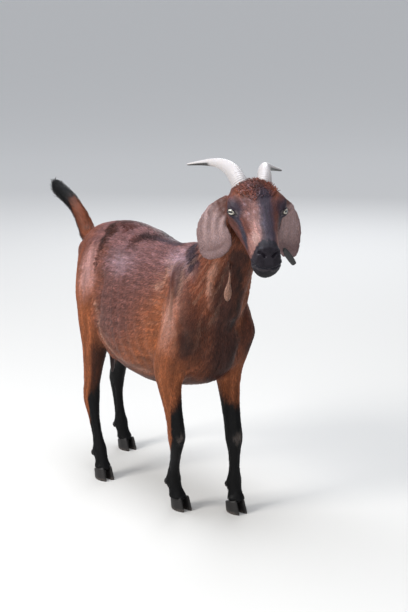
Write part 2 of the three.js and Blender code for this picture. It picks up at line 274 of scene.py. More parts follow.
def split_faces(mesh, chosen):
    """Cuts each edge of the chosen faces in two. chosen takes face centres in the goat's own frame."""
    bm = bmesh.new()
    bm.from_mesh(mesh)
    centres = np.array([f.calc_center_median() for f in bm.faces]) + MIDDLE
    edges = {e for f, near in zip(bm.faces, chosen(centres)) if near for e in f.edges}
    bmesh.ops.subdivide_edges(bm, edges=list(edges), cuts=1, use_grid_fill=True)
    bm.to_mesh(mesh)
    bm.free()


def from_eyes(p):
    """How far each point is from the middle of the nearer eye."""
    return np.min([np.linalg.norm(p - at, axis=1) for at in EYES.values()], 0)


def on_muzzle(p):
    skull = in_frame(skull_frame, p)
    return (skull[:, 0] > 0.106) & (np.abs(skull[:, 1]) < 0.06) & (np.abs(skull[:, 2]) < 0.08)


SOCKET, BALL_AND_LIDS = 0.026, 0.0195  # metres from the middle of the eye
split_faces(skin_mesh, lambda p: (from_eyes(p) < SOCKET) | on_muzzle(p))
split_faces(skin_mesh, lambda p: from_eyes(p) < BALL_AND_LIDS)
points = get_points(skin_mesh) + MIDDLE
table = neighbour_table(skin_mesh)
print("skin after splitting:", len(skin_mesh.vertices), "vertices")

# %% [markdown]
# Which part of the body is a point on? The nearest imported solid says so. Each part's share is then
# spread a little over the surface, so that what depends on it, such as the lie of the hair, turns
# smoothly from one part into the next.

# %% Find the part of the body at each vertex
PARTS = ["trunk", "neck", "head", "tail", "udder", "wattle_right", "ear_left", "ear_right"] + LIMBS


def nearest_part(points):
    """The number in PARTS of the solid that is nearest to each point."""
    corners, faces, owner = [], [], []
    for number, name in enumerate(PARTS):
        mesh = nodes[name].data
        base = len(corners)
        corners += [tuple(c) for c in get_points(mesh)]
        faces += [tuple(base + v for v in f.vertices) for f in mesh.polygons]
        owner += [number] * len(mesh.polygons)
    tree = BVHTree.FromPolygons(corners, faces)
    return np.array([owner[tree.find_nearest(p)[2]] for p in (points - MIDDLE).tolist()])


def spread(labels, table, rounds):
    """Each part's share at each vertex, spread over the surface."""
    shares = np.eye(len(PARTS), dtype=np.float32)[labels]
    return smooth(shares, table, 0.5, rounds)


labels = nearest_part(points)
shares = spread(labels, table, 24)
part = {name: shares[:, i] for i, name in enumerate(PARTS)}
print({name: int((labels == i).sum()) for i, name in enumerate(PARTS)})

# %% Smooth the fine skin
face_share = part["head"]
ear_share = part["ear_left"] + part["ear_right"]
points = smooth_in_size(points, table, 0.5, 12)
points = smooth_partly(points, table, ear_share, 26)
nape = np.clip(8 * spread(labels, table, 60)[:, PARTS.index("neck")] * face_share, 0, 1)
points = smooth_partly(points, table, nape, 120)
set_points(skin_mesh, points - MIDDLE)
print("smoothed")

# %% [markdown]
# ## Sculpting by function
# Instead of a brush, two small functions push the skin out or in along its normal: one round a
# spot, one along a path. A muscle, a bone under the skin, a groove or a fold is then one row of a
# table, and the body's two sides share their rows.

# %% Spots and paths


def place_marks(path):
    """How far along the path each of its corners lies, from 0 to 1."""
    lengths = np.linalg.norm(np.diff(np.asarray(path, float), axis=0), axis=1)
    return np.concatenate([[0], np.cumsum(lengths)]) / lengths.sum()


def mixed_along(place, marks, values):
    """The values that are given at the marks, mixed at each place between them."""
    return np.stack([np.interp(place, marks, values[:, i]) for i in range(3)], 1)


def nearest_on_path(points, path):
    """Distance from each point to a path of corners, and how far along it that is, from 0 to 1."""
    path = np.asarray(path, float)
    lengths = np.linalg.norm(np.diff(path, axis=0), axis=1)
    starts = np.concatenate([[0], np.cumsum(lengths)])
    best = np.full(len(points), np.inf)
    place = np.zeros(len(points))
    for a, b, length, start in zip(path[:-1], path[1:], lengths, starts):
        t = np.clip((points - a) @ (b - a) / length**2, 0, 1)
        d = np.linalg.norm(points - (a + t[:, None] * (b - a)), axis=1)
        nearer = d < best
        best = np.where(nearer, d, best)
        place = np.where(nearer, (start + t * length) / starts[-1], place)
    return best, place


def spot(points, centre, radius, height):
    """A soft bump, or a dent where height is negative. radius may differ along the three axes."""
    d = (points - np.asarray(centre)) / np.asarray(radius)
    return height * np.exp(-(d**2).sum(1))


def ridge(points, path, width, height, ends=0.12):
    """A soft ridge along a path, or a groove where height is negative, fading at its ends."""
    d, place = nearest_on_path(points, path)
    fade = step(0, ends, place) * step(0, ends, 1 - place)
    return height * np.exp(-((d / width) ** 2)) * fade


def pushed(push, points, forms):
    """Adds forms to push. A form is spot or ridge with its own numbers: where it lies, its radius or
    width, its height and, for a ridge, its ends. Off the middle plane it counts on both sides."""
    for shape, place, *sizes in forms:
        one = shape(points, place, *sizes)
        if np.any(np.asarray(place)[..., 1]):
            one = one + shape(flipped(points, -1), place, *sizes)
        push = push + one
    return push


print("distance to a path:", nearest_on_path(np.array([[0, 0, 1.0]]), [(0, 0, 0), (1, 0, 0)])[0])

# %% [markdown]
# The body first. Under a short coat one sees the shoulder and its point, the elbow, the thigh
# and the fold of skin that runs from the stifle to the belly, and below them the bony knees and
# hocks, with a groove down each cannon between bone and tendon.

# %% Sculpt the body
LEG_JOINTS = {
    "foreleg_right": [(0.154, -0.048, 0.646), (0.164, -0.068, 0.462), (0.128, -0.080, 0.345),
                      (0.158, -0.082, 0.205), (0.104, -0.058, 0.082), (0.112, -0.047, 0.019)],
    "foreleg_left": [(0.156, 0.048, 0.646), (0.172, 0.068, 0.462), (0.156, 0.066, 0.345),
                     (0.195, 0.058, 0.190), (0.194, 0.061, 0.078), (0.206, 0.058, 0.019)],
    "hindleg_right": [(-0.268, -0.040, 0.640), (-0.272, -0.060, 0.505), (-0.240, -0.078, 0.372),
                      (-0.250, -0.089, 0.210), (-0.210, -0.090, 0.078), (-0.196, -0.088, 0.019)],
    "hindleg_left": [(-0.268, 0.040, 0.640), (-0.288, 0.060, 0.505), (-0.312, 0.075, 0.372),
                     (-0.408, 0.079, 0.211), (-0.398, 0.082, 0.078), (-0.384, 0.089, 0.019)],
}

TRUNK_FORMS = [
    # the shoulder blade, the groove behind it, the shoulder's point and the upper arm
    (ridge, [(0.120, 0.055, 0.640), (0.165, 0.085, 0.560), (0.205, 0.090, 0.470)], 0.017, 0.0060),
    (ridge, [(0.085, 0.070, 0.625), (0.105, 0.098, 0.520), (0.090, 0.106, 0.400)], 0.014, -0.0065),
    (spot, (0.222, 0.082, 0.455), 0.028, 0.007),
    (spot, (0.150, 0.108, 0.430), (0.040, 0.03, 0.05), 0.006),
    # the fold from the stifle to the belly, the hollows of the flank, hip and pin bones, the thigh
    (ridge, [(-0.190, 0.102, 0.400), (-0.160, 0.100, 0.362), (-0.110, 0.085, 0.332)], 0.009, 0.0075, 0.2),
    (ridge, [(-0.185, 0.085, 0.560), (-0.176, 0.104, 0.480), (-0.178, 0.106, 0.412)], 0.017, -0.0095, 0.2),
    (spot, (-0.130, 0.080, 0.590), (0.050, 0.03, 0.022), -0.0070),
    (spot, (-0.200, 0.072, 0.634), 0.021, 0.0085),
    (spot, (-0.372, 0.046, 0.580), 0.019, 0.006),
    (ridge, [(-0.345, 0.086, 0.560), (-0.335, 0.104, 0.470), (-0.290, 0.108, 0.400)], 0.017, -0.0050, 0.3)]
NECK_FORMS = [
    # the chest's groove, the windpipe's edge, the long muscle, its end at the chest, the windpipe
    (spot, (0.262, 0, 0.440), (0.03, 0.016, 0.07), -0.004),
    (ridge, [(0.322, 0.036, 0.660), (0.297, 0.038, 0.600), (0.288, 0.034, 0.550), (0.268, 0.026, 0.500)],
     0.012, -0.0050, 0.25),
    (ridge, [(0.300, 0.056, 0.655), (0.270, 0.053, 0.605), (0.265, 0.050, 0.565), (0.255, 0.042, 0.508)],
     0.009, 0.0060, 0.2),
    (ridge, [(0.246, 0.050, 0.500), (0.244, 0.056, 0.440), (0.214, 0.048, 0.372)], 0.013, -0.0060, 0.25),
    (ridge, [(0.352, 0, 0.664), (0.300, 0, 0.560), (0.276, 0, 0.490)], 0.018, 0.004)]
RIB_SPACING, RIB_HEIGHT = 0.034, 0.0010


def sculpt_body(p):
    """How far each point of the body is pushed outwards, in metres."""
    push = pushed(np.zeros(len(p)), p, TRUNK_FORMS)
    ribs = step(0.30, 0.40, p[:, 2]) * step(0.60, 0.54, p[:, 2]) * step(-0.14, -0.08, p[:, 0])
    ribs *= step(0.09, 0.05, p[:, 0])
    push += RIB_HEIGHT * ribs * np.cos((p[:, 0] + 0.25 * p[:, 2]) * 2 * math.pi / RIB_SPACING)
    return pushed(push, p, NECK_FORMS)


def sculpt_leg(p, joints, fore):
    """Knee or hock, fetlock, and the grooves beside the tendon, on one leg."""
    knee, fetlock = np.array(joints[3]), np.array(joints[4])
    down = fetlock - knee
    side = np.array([0, 1.0, 0])
    push = np.zeros(len(p))
    for sign in (-1, 1):
        path = [knee + 0.18 * down + sign * 0.014 * side - (0.002, 0, 0),
                knee + 0.86 * down + sign * 0.013 * side - (0.004, 0, 0)]
        push += ridge(p, path, width=0.0045, height=-0.0022, ends=0.15)
        push += spot(p, fetlock + sign * 0.015 * side, radius=0.012, height=0.0024)
        push += spot(p, knee + (0.002, sign * 0.018, 0), radius=(0.014, 0.010, 0.022), height=0.0022)
    push += spot(p, fetlock + (-0.013, 0, -0.012), radius=(0.012, 0.020, 0.014), height=0.0060)
    if fore:
        push += spot(p, knee + (0.020, 0, 0.006), radius=(0.012, 0.014, 0.020), height=0.0030)
        push += spot(p, knee + (0.016, 0, -0.026), radius=(0.012, 0.014, 0.008), height=-0.0014)
        push += spot(p, knee + (-0.020, 0, 0.012), radius=0.009, height=0.002)
    else:
        for sign in (1, -1):
            path = [knee + (-0.010, 0.013 * sign, 0.075), knee + (-0.024, 0.012 * sign, 0.020)]
            push += ridge(p, path, width=0.006, height=-0.0028)
        push += spot(p, knee + (-0.030, 0, 0.012), radius=0.010, height=0.002)
    return push


push = sculpt_body(points)
for name, joints in LEG_JOINTS.items():
    push += sculpt_leg(points, joints, name.startswith("fore"))
push *= 1 - np.clip(face_share + ear_share, 0, 1)
normals = get_normals(skin_mesh)
points += normals * push[:, None]
print("body pushed by", push.min().round(4), "to", push.max().round(4))

# %% [markdown]
# The head is shaped in the skull's own frame, where x runs from the poll to the nose. Brow, cheek
# and jaw come first. Then the muzzle gets its slanting nostrils, the groove between them and the
# mouth, which runs back to a corner well behind the nostril.

# %% Sculpt the head
NOSTRIL = [(0.1535, 0.0065, 0.006), (0.1505, 0.0125, 0.0125), (0.1455, 0.0190, 0.0145),
           (0.1395, 0.0240, 0.0100)]
NOSTRIL_WING = [(0.1500, 0.0100, 0.0190), (0.1430, 0.0190, 0.0215), (0.1350, 0.0270, 0.0150),
                (0.1360, 0.0290, 0.0060)]
MOUTH = [(0.180, 0, -0.0150), (0.160, 0, -0.0200), (0.142, 0, -0.0275), (0.120, 0, -0.0355),
         (0.100, 0, -0.0425)]  # seen from the side, so it's measured on points moved to y = 0

HEAD_FORMS = [
    # the brow, the face's edge and the hollow under it, the cheekbone, the cheek and the jaw
    (spot, (-0.010, 0.052, 0.026), (0.022, 0.014, 0.010), 0.0028),
    (ridge, [(0.018, 0.044, 0.020), (0.045, 0.032, 0.016), (0.080, 0.026, 0.012)], 0.008, 0.0016, 0.3),
    (ridge, [(0.024, 0.047, -0.006), (0.050, 0.036, -0.010), (0.078, 0.031, -0.012)], 0.006, -0.0020, 0.3),
    (ridge, [(0.040, 0.043, -0.028), (0.006, 0.054, -0.026), (-0.045, 0.058, -0.014)], 0.008, 0.0026, 0.2),
    (spot, (-0.046, 0.052, -0.048), (0.030, 0.03, 0.026), 0.0030),
    (ridge, [(-0.086, 0.040, -0.050), (-0.055, 0.046, -0.078), (-0.010, 0.040, -0.078)], 0.010, 0.0020,
     0.2),
    # the bridge of the nose, the nostrils, and the groove between them
    (ridge, [(0.010, 0, 0.040), (0.060, 0, 0.032), (0.105, 0, 0.030)], 0.014, 0.0012),
    (ridge, NOSTRIL_WING, 0.0055, 0.0022, 0.2),
    (ridge, NOSTRIL, 0.0026, -0.0062, 0.12),
    (ridge, [(0.156, 0, 0.012), (0.166, 0, -0.004), (0.169, 0, -0.016)], 0.0018, -0.0016),
    (spot, (0.160, 0.010, -0.008), 0.009, 0.0014)]


def raised(path, height):
    """The path moved up, or down where height is negative."""
    return [(x, y, z + height) for x, y, z in path]


UPPER_LIP, LOWER_LIP = raised(MOUTH, 0.0055), raised(MOUTH, -0.0052)
LIP_FORMS = [(ridge, UPPER_LIP, 0.0045, 0.0016), (ridge, LOWER_LIP, 0.0040, 0.0008),
             (ridge, MOUTH, 0.0014, -0.0030, 0.08)]
CHIN_FORMS = [(spot, (0.160, 0, -0.036), (0.012, 0.014, 0.010), 0.0016)]


def mouth_side(s):
    """Skull points moved to y = 0. The mouth's line lies higher at its sides than at its middle."""
    return np.stack([s[:, 0], 0 * s[:, 1], s[:, 2] - 0.006 * np.clip(s[:, 1] / 0.026, -1, 1) ** 2], 1)


def sculpt_head(s):
    """How far each point of the head is pushed outwards. s is in the skull's frame."""
    push = pushed(np.zeros(len(s)), s, HEAD_FORMS)
    return pushed(pushed(push, mouth_side(s), LIP_FORMS), s, CHIN_FORMS)


skull = in_frame(skull_frame, points)
push = sculpt_head(skull) * step(0.35, 0.75, face_share)
points += normals * push[:, None]
set_points(skin_mesh, points - MIDDLE)
print("head pushed by", push.min().round(4), "to", push.max().round(4))

# %% [markdown]
# The ears hang like leaves. Their hollow side, turned to the front, has soft lengthwise ridges
# of gristle, and low down each ear creases once across.

# %% Sculpt the ears
EAR_PATH = [(-0.046, 0.050, 0.024), (-0.054, 0.064, 0.014), (-0.064, 0.080, -0.012),
            (-0.068, 0.085, -0.046), (-0.060, 0.079, -0.080), (-0.046, 0.070, -0.108)]
EAR_ACROSS, EAR_FRONT = np.array([-0.62, 0.78, 0]), np.array([0.78, 0.62, 0])


def on_ear(p, sign):
    """Where a point lies on an ear: its share of the way down, and how far across in metres."""
    q = flipped(in_frame(yaw_frame, p), sign)
    _, down = nearest_on_path(q, EAR_PATH)
    middle = mixed_along(down, place_marks(EAR_PATH), np.array(EAR_PATH))
    return down, (q - middle) @ EAR_ACROSS


def faces_front(p, n, sign):
    """How far the skin faces the front of the ear: 1 at its hollow side, -1 at its back."""
    turned = in_frame(yaw_frame, p + n) - in_frame(yaw_frame, p)
    return flipped(turned, sign) @ EAR_FRONT


for side, sign in BOTH_SIDES:
    down, across = on_ear(points, sign)
    facing = step(-0.2, 0.5, faces_front(points, normals, sign))
    inner = part[f"ear_{side}"] * step(0.12, 0.3, down) * step(1.0, 0.86, down)
    ridges = np.cos(across * 2 * math.pi / 0.020 + 2.2 * down) * step(0.040, 0.026, np.abs(across))
    crease = np.exp(-(((down - 0.80 - 0.06 * np.cos(across * 60)) / 0.022) ** 2))
    push = inner * facing * (0.0019 * ridges * step(0.85, 0.55, down) - 0.0016 * crease)
    points += normals * push[:, None]
set_points(skin_mesh, points - MIDDLE)
print("ears done")

# %% [markdown]
# Each eye has its own frame: out of the ball's middle, along the slit between the lids and across
# it. The skin over the ball is one closed lid so far. Inside an almond-shaped slit it's pushed
# deep under the ball, which opens the eye, and a rim and two creases are raised round the slit.

# %% Open the eyelids
EYE_OUT = unit(np.array([0.64, 0.765, 0.05]))  # where the left eye looks, in the yaw frame
EYE_SLANT = math.radians(17)  # the slit's front corner lies lower than its back one
SLIT = {"half_length": 56, "upper": 22, "lower": -19}  # degrees round the ball
LID_FORMS = [(5, 5.0, 0.0011, 0.0011),  # the rim: degrees outside the slit, spread, height above, below
             (17, 4.5, -0.0011, -0.0006),  # a crease
             (27, 7.0, 0.0012, 0.0004)]  # and a fold


def eye_axes(sign):
    """Three axes of an eye in the goat's own frame: out, forward along the slit, and up across it."""
    turn = np.array(yaw_frame.to_3x3())
    out = turn @ flipped(EYE_OUT, sign)
    level = unit(np.cross([0, 0, 1], out)) * -sign
    rise = np.cross(out, level) * -sign
    rise = rise if rise[2] > 0 else -rise
    slit = math.cos(EYE_SLANT) * level - math.sin(EYE_SLANT) * rise
    return out, slit, math.cos(EYE_SLANT) * rise + math.sin(EYE_SLANT) * level


def lid_place(p, side, sign):
    """Where a point lies round an eye: degrees along the slit, degrees outside its edge, which is
    less than 0 inside it, metres from the ball's middle, and degrees above the slit."""
    out, slit, across = eye_axes(sign)
    d = p - EYES[side]
    r = np.linalg.norm(d, axis=1)
    d = d / r[:, None]
    along = np.degrees(np.arcsin(np.clip(d @ slit, -1, 1)))
    up = np.degrees(np.arcsin(np.clip(d @ across, -1, 1)))
    arch = 1 - (along / SLIT["half_length"]) ** 2
    outside = np.where(up > 0, up - SLIT["upper"] * arch, SLIT["lower"] * arch - up)
    return along, np.where(d @ out > 0.15, outside, 90), r, up


for side, sign in BOTH_SIDES:
    along, outside, r, up = lid_place(points, side, sign)
    near = step(0.024, 0.019, r)
    d = unit(points - EYES[side])
    relief = sum(np.where(up > 0, above, below) * np.exp(-(((outside - at) / spread) ** 2))
                 for at, spread, above, below in LID_FORMS)
    shaped = np.where(outside < 0, EYE_RADIUS - 0.0030, r + near * relief)
    shaped = np.where(near > 0, shaped, r)
    points = EYES[side] + d * shaped[:, None]
set_points(skin_mesh, points - MIDDLE)
print("lids open:", [int((lid_place(points, *both)[1] < 0).sum()) for both in BOTH_SIDES])

# %% [markdown]
# ## A helper for slim parts
# A wattle, a horn or a dewclaw could be a curve with a bevel, but a ball pulled out along a path
# closes at its tip by itself and can swell into growth rings on the way.

# %% A ball pulled out along a path


def through(marks, values, t):
    """Smooth values at t, passing through the given values at the given marks."""
    marks, values = np.asarray(marks, float), np.asarray(values, float)
    slopes = np.gradient(values, marks, axis=0)
    i = np.clip(np.searchsorted(marks, t, side="right") - 1, 0, len(marks) - 2)
    h = (marks[i + 1] - marks[i])[:, None]
    u = ((t - marks[i]) / h[:, 0])[:, None]
    return ((1 + 2 * u) * (1 - u) ** 2 * values[i] + u * (1 - u) ** 2 * h * slopes[i]
            + u * u * (3 - 2 * u) * values[i + 1] + u * u * (u - 1) * h * slopes[i + 1])


def ball(segments, rings):
    bm = bmesh.new()
    bmesh.ops.create_uvsphere(bm, u_segments=segments, v_segments=rings, radius=1)
    return bm


def pull_along(bm, path, rows, side, blunt=0.25, ripple=None):
    """Bends a ball of radius 1 along a path. rows hold share along, half width and half thickness.
    The width lies towards side. ripple(t, angle) scales the radius, for growth rings. The result
    is each point's new place, and its share along."""
    unit_ball = np.array([v.co for v in bm.verts])
    t = (unit_ball[:, 2] + 1) / 2
    angle = np.arctan2(unit_ball[:, 1], unit_ball[:, 0])
    round_off = np.maximum(1 - unit_ball[:, 2] ** 2, 0) ** (blunt / 2)
    marks = place_marks(path)
    centre = through(marks, path, t)
    ahead = unit(through(marks, path, np.minimum(t + 0.01, 1)) - through(marks, path, t - 0.01))
    wide_way = unit(np.asarray(side) - (ahead @ np.asarray(side))[:, None] * ahead)
    thin_way = np.cross(ahead, wide_way)
    rows = np.asarray(rows, float)
    radii = through(rows[:, 0], rows[:, 1:], t) * round_off[:, None]
    if ripple is not None:
        radii = radii * ripple(t, angle)[:, None]
    out = (centre + wide_way * (np.cos(angle) * radii[:, 0])[:, None]
           + thin_way * (np.sin(angle) * radii[:, 1])[:, None])
    return out, t


def move_vertices(bm, places):
    for v, place in zip(bm.verts, places):
        v.co = place


def finished(name, bm, slot, *replaced, values=None):
    """Makes the piece: outward faces, smooth shading, its body and the nodes it stands for. slot is not
    used.
    """
    bmesh.ops.recalc_face_normals(bm, faces=bm.faces)
    mesh = mesh_from(bm, name)
    mesh.polygons.foreach_set("use_smooth", [True] * len(mesh.polygons))
    for label, array in (values or {}).items():
        attribute = mesh.attributes.new(label, "FLOAT_VECTOR" if array.ndim == 2 else "FLOAT", "POINT")
        attribute.data.foreach_set("vector" if array.ndim == 2 else "value",
                                   np.asarray(array, np.float32).ravel())
    ob = new_object(name, mesh)
    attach(ob, "root")
    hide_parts(*replaced)
    print(name + ":", len(mesh.polygons), "faces")
    return ob


# %% [markdown]
# ## One light skin
# The skin first sinks by the depth of the coat, so that the tips of the hair come back out to the
# true outline. The fine grid also has far more faces than smooth flesh needs. Decimating takes
# away only what the eye can't see, and a vertex group keeps the faces of the head and ears.

# %% Sink the skin by the coat's depth, and thin it out
SKIN_TRIANGLES = 186000


def coat_depth(part, p):
    """How deep the coat lies over the skin, in metres."""
    leg = sum(part[name] for name in LIMBS) * step(0.40, 0.24, p[:, 2])
    ears = part["ear_left"] + part["ear_right"]
    return 0.0024 - 0.0010 * leg - 0.0015 * part["head"] - 0.0014 * part["udder"] - 0.0024 * ears


sink = coat_depth(part, points) * step(0.017, 0.024, from_eyes(points))
points -= get_normals(skin_mesh) * sink[:, None]
points = smooth_partly(points, table, ear_share, 3)
set_points(skin_mesh, points - MIDDLE)

plain = (1 - step(0.2, 0.6, face_share + ear_share)).round(1)
thinning = new_object("thinning", skin_mesh)
group = thinning.vertex_groups.new(name="plain")
for level in np.unique(plain):
    group.add(np.flatnonzero(plain == level).tolist(), float(level), "REPLACE")
mod = thinning.modifiers.new("Decimate", "DECIMATE")
mod.ratio = SKIN_TRIANGLES / (2 * len(skin_mesh.polygons))
mod.vertex_group = group.name
mod.use_collapse_triangulate = True
skin_mesh = bpy.data.meshes.new_from_object(
    thinning.evaluated_get(bpy.context.evaluated_depsgraph_get()))
bpy.data.objects.remove(thinning)
skin_mesh.name = "skin"
print("thinned to", len(skin_mesh.polygons), "triangles")

# %% [markdown]
# A wattle is a small hanging lobe of skin on the throat. It could be sculpted, but it is far too
# thin for the grid, so a ball is pulled out along its path by the helper above and joins the skin.

# %% The wattle, and the finished skin
WATTLE_PATH = [(0.306, -0.026, 0.664), (0.321, -0.036, 0.646), (0.329, -0.041, 0.618),
               (0.327, -0.044, 0.590), (0.325, -0.046, 0.562)]
WATTLE_ROWS = [(0, 0.0060, 0.0060), (0.2, 0.0030, 0.0030), (0.62, 0.0030, 0.0030),
               (0.80, 0.0086, 0.0080), (0.92, 0.0098, 0.0092), (1, 0.0080, 0.0075)]
whole = bmesh.new()
whole.from_mesh(skin_mesh)
bm = ball(24, 46)
places, _ = pull_along(bm, WATTLE_PATH, WATTLE_ROWS, (0, 1, 0), blunt=0.6)
move_vertices(bm, places - MIDDLE)
add_to(whole, bm)
bmesh.ops.triangulate(whole, faces=[f for f in whole.faces if len(f.verts) > 3])
whole.to_mesh(skin_mesh)
whole.free()
skin_mesh.polygons.foreach_set("use_smooth", [True] * len(skin_mesh.polygons))
points = get_points(skin_mesh) + MIDDLE
normals = get_normals(skin_mesh)
table = neighbour_table(skin_mesh)
labels = nearest_part(points)
shares = spread(labels, table, 10)
part = {name: shares[:, i] for i, name in enumerate(PARTS)}
skin = new_object("skin", skin_mesh)
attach(skin, "root")
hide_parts(*PARTS)
print("skin:", len(skin_mesh.vertices), "vertices,", len(skin_mesh.polygons), "triangles")

# %% [markdown]
# ## Horns, eyes, hooves and tag
# These aren't flesh, so each keeps its own piece.
#
# A goat's horn grows from its root, so it carries fine rings near the skull, which fade towards
# the smooth tip. They are part of the shape, because the horn's outline shows them. Two values go
# along for the material: how far up the horn a point is, and whether it lies on the underside,
# which is black near the tip.

# %% Horns
HORN_PATH = [(-0.036, 0.017, 0.026), (-0.062, 0.030, 0.064), (-0.092, 0.036, 0.077),
             (-0.135, 0.045, 0.084), (-0.182, 0.059, 0.084), (-0.226, 0.084, 0.077),
             (-0.260, 0.113, 0.068)]
HORN_ROWS = [(0, 0.0290, 0.0240), (0.2, 0.0240, 0.0178), (0.45, 0.0156, 0.0125), (0.75, 0.0085, 0.0070),
             (1, 0.0034, 0.0030)]
HORN_RINGS, HORN_SWELLS, RING_HEIGHT = 30, 7, 0.016  # the height is a share of the horn's radius


def horn_ripple(t, angle):
    """Fine rings and slower swells, as a factor of the radius."""
    fade = step(0.05, 0.12, t) * step(0.62, 0.25, t)
    rings = np.maximum(np.cos(t * 2 * math.pi * HORN_RINGS + 0.5 * np.cos(angle)), -0.2)
    swells = np.cos(t * 2 * math.pi * HORN_SWELLS + 0.8)
    return 1 + fade * (RING_HEIGHT * rings + RING_HEIGHT * swells)


horns = []
for side, sign in BOTH_SIDES:
    path = [(x, y * sign - 0.003, z + sign * 0.008 * x / 0.260) for x, y, z in HORN_PATH]
    bm = ball(30, 150)
    places, t = pull_along(bm, path, HORN_ROWS, (0.5, 0, 1), ripple=horn_ripple)
    under = -unit(places - through(place_marks(path), path, t))[:, 2]
    move_vertices(bm, from_frame(yaw_frame, places) - MIDDLE)
    horns.append(finished(f"horn_{side}_smooth", bm, "horn", f"horn_{side}",
                          values={"along": t, "under": under}))

# %% [markdown]
# An eye is a ball in its socket with a clear bulge, the cornea, in front of the iris. Here one
# ball does both: its front is raised a little, and the iris is coloured by a value that says, for
# each point, how far it lies across, above and in front of the ball's middle.

# %% Eyes
eyes = []
for side, sign in BOTH_SIDES:
    out, _, _ = eye_axes(sign)
    level = unit(np.cross([0, 0, 1], out))
    rise = np.cross(out, level)
    bm = ball(64, 48)
    directions = np.array([v.co for v in bm.verts])
    front = step(math.cos(math.radians(40)), math.cos(math.radians(20)), directions[:, 2])
    radius = (EYE_RADIUS - 0.0002 + 0.0009 * front)[:, None]
    places = EYES[side] + radius * (directions[:, :1] * level + directions[:, 1:2] * rise
                                    + directions[:, 2:] * out)
    move_vertices(bm, places - MIDDLE)
    eyes.append(finished(f"eye_{side}_ball", bm, "eye", f"eye_{side}",
                         values={"gaze": directions * EYE_RADIUS}))

# %% [markdown]
# A goat walks on two claws per foot, each with a hard curved wall, a flat sole and a deep cleft
# between. A finely cut cylinder is drawn into that shape: longer at the sole than at the hairline,
# leaning back, narrowing to the toe and flat on its inner side. Two dewclaws hang behind.

# %% Claws and dewclaws
CLAW = {"length": 0.054, "width": 0.020, "height": 0.034, "taper": 0.2, "lean": 0.28, "point": 0.38,
        "heel": 0.84, "flat": 0.8, "full": 1.1}
CLEFT = 0.002
TOES = {"foreleg_right": (0.118, -0.044), "foreleg_left": (0.212, 0.056),
        "hindleg_right": (-0.190, -0.088), "hindleg_left": (-0.378, 0.090)}
DEWCLAW = [(-0.010, 0.0080, -0.006), (-0.0180, 0.0096, -0.013), (-0.0200, 0.0098, -0.023)]
DEWCLAW_ROWS = [(0, 0.0066, 0.0066), (0.6, 0.0064, 0.0056), (1, 0.0048, 0.0042)]


def claw(x, y, outward):
    """One claw: a round block of fine faces, shaped by its height and its place fore and aft."""
    bm = bmesh.new()
    bmesh.ops.create_cone(bm, cap_ends=True, cap_tris=False, segments=56, radius1=1, radius2=1, depth=1)
    walls = [e for e in bm.edges if abs(e.verts[0].co.z - e.verts[1].co.z) > 0.5]
    bmesh.ops.subdivide_edges(bm, edges=walls, cuts=22)
    ends = [f for f in bm.faces if len(f.verts) > 4]
    for _ in range(3):
        bmesh.ops.inset_region(bm, faces=ends, thickness=0.05)
        ends = [f for f in ends if f.is_valid]
    for v in bm.verts:
        fore, across, up = v.co.x, v.co.y, v.co.z + 0.5
        edge = 1 - 0.05 * (max(0, 0.14 - up) / 0.14) ** 2 - 0.10 * (max(0, up - 0.86) / 0.14) ** 2
        growth = 1 + 0.010 * math.cos(up * 2 * math.pi * 6.5 + 1.2 * fore) * (1 - up)
        fore, across = fore * edge * growth, across * edge * growth
        length = fore * CLAW["length"] / 2 * (1 - CLAW["taper"] * up)
        narrow = (1 - CLAW["point"] * max(fore, 0) ** 2) * (1 - 0.6 * CLAW["taper"] * up)
        half = CLAW["width"] / 2 * (CLAW["full"] if across * outward > 0 else CLAW["flat"]) * narrow
        rise = up * CLAW["height"] * (CLAW["heel"] + (1 - CLAW["heel"]) * fore)
        v.co = (x + length - up * CLAW["height"] * CLAW["lean"], y + across * half, rise)
    return bm


hooves = []
for leg in LIMBS:
    x, y = TOES[leg]
    fetlock = np.array(LEG_JOINTS[leg][4])
    whole = bmesh.new()
    for place in (-1, 1):
        add_to(whole, claw(x, y + place * (CLAW["width"] + CLEFT) / 2, place))
        bm = ball(20, 24)
        path = [fetlock + np.array([1, place, 1]) * p for p in DEWCLAW]
        places, _ = pull_along(bm, path, DEWCLAW_ROWS, (0, 1, 0), blunt=0.7)
        move_vertices(bm, places)
        add_to(whole, bm)
    for v in whole.verts:
        v.co -= Vector(MIDDLE)
    names = [f"{kind}_{leg}_{place}" for kind in ("claw", "dewclaw") for place in ("outer", "inner")]
    hooves.append(finished(f"hooves_{leg}", whole, "hoof", *names))

# %% [markdown]
# The tag in her left ear is a plain strip of soft black plastic with rounded ends, held by a stud
# that goes through the ear. The strip is a thin ball-ended bar bent a little, as such tags hang.

# %% Ear tag
TAG_PATH = [(-0.045, 0.070, -0.088), (-0.048, 0.085, -0.107), (-0.055, 0.100, -0.127)]
TAG_ROWS = [(0, 0.0070, 0.0014), (0.5, 0.0072, 0.0013), (1, 0.0070, 0.0014)]
STUD_ROWS = [(0, 0.0030, 0.0030), (0.6, 0.0034, 0.0034), (0.8, 0.0046, 0.0046), (1, 0.0044, 0.0044)]
TAG_SIDE = np.array([0.2, 1, 0.8])

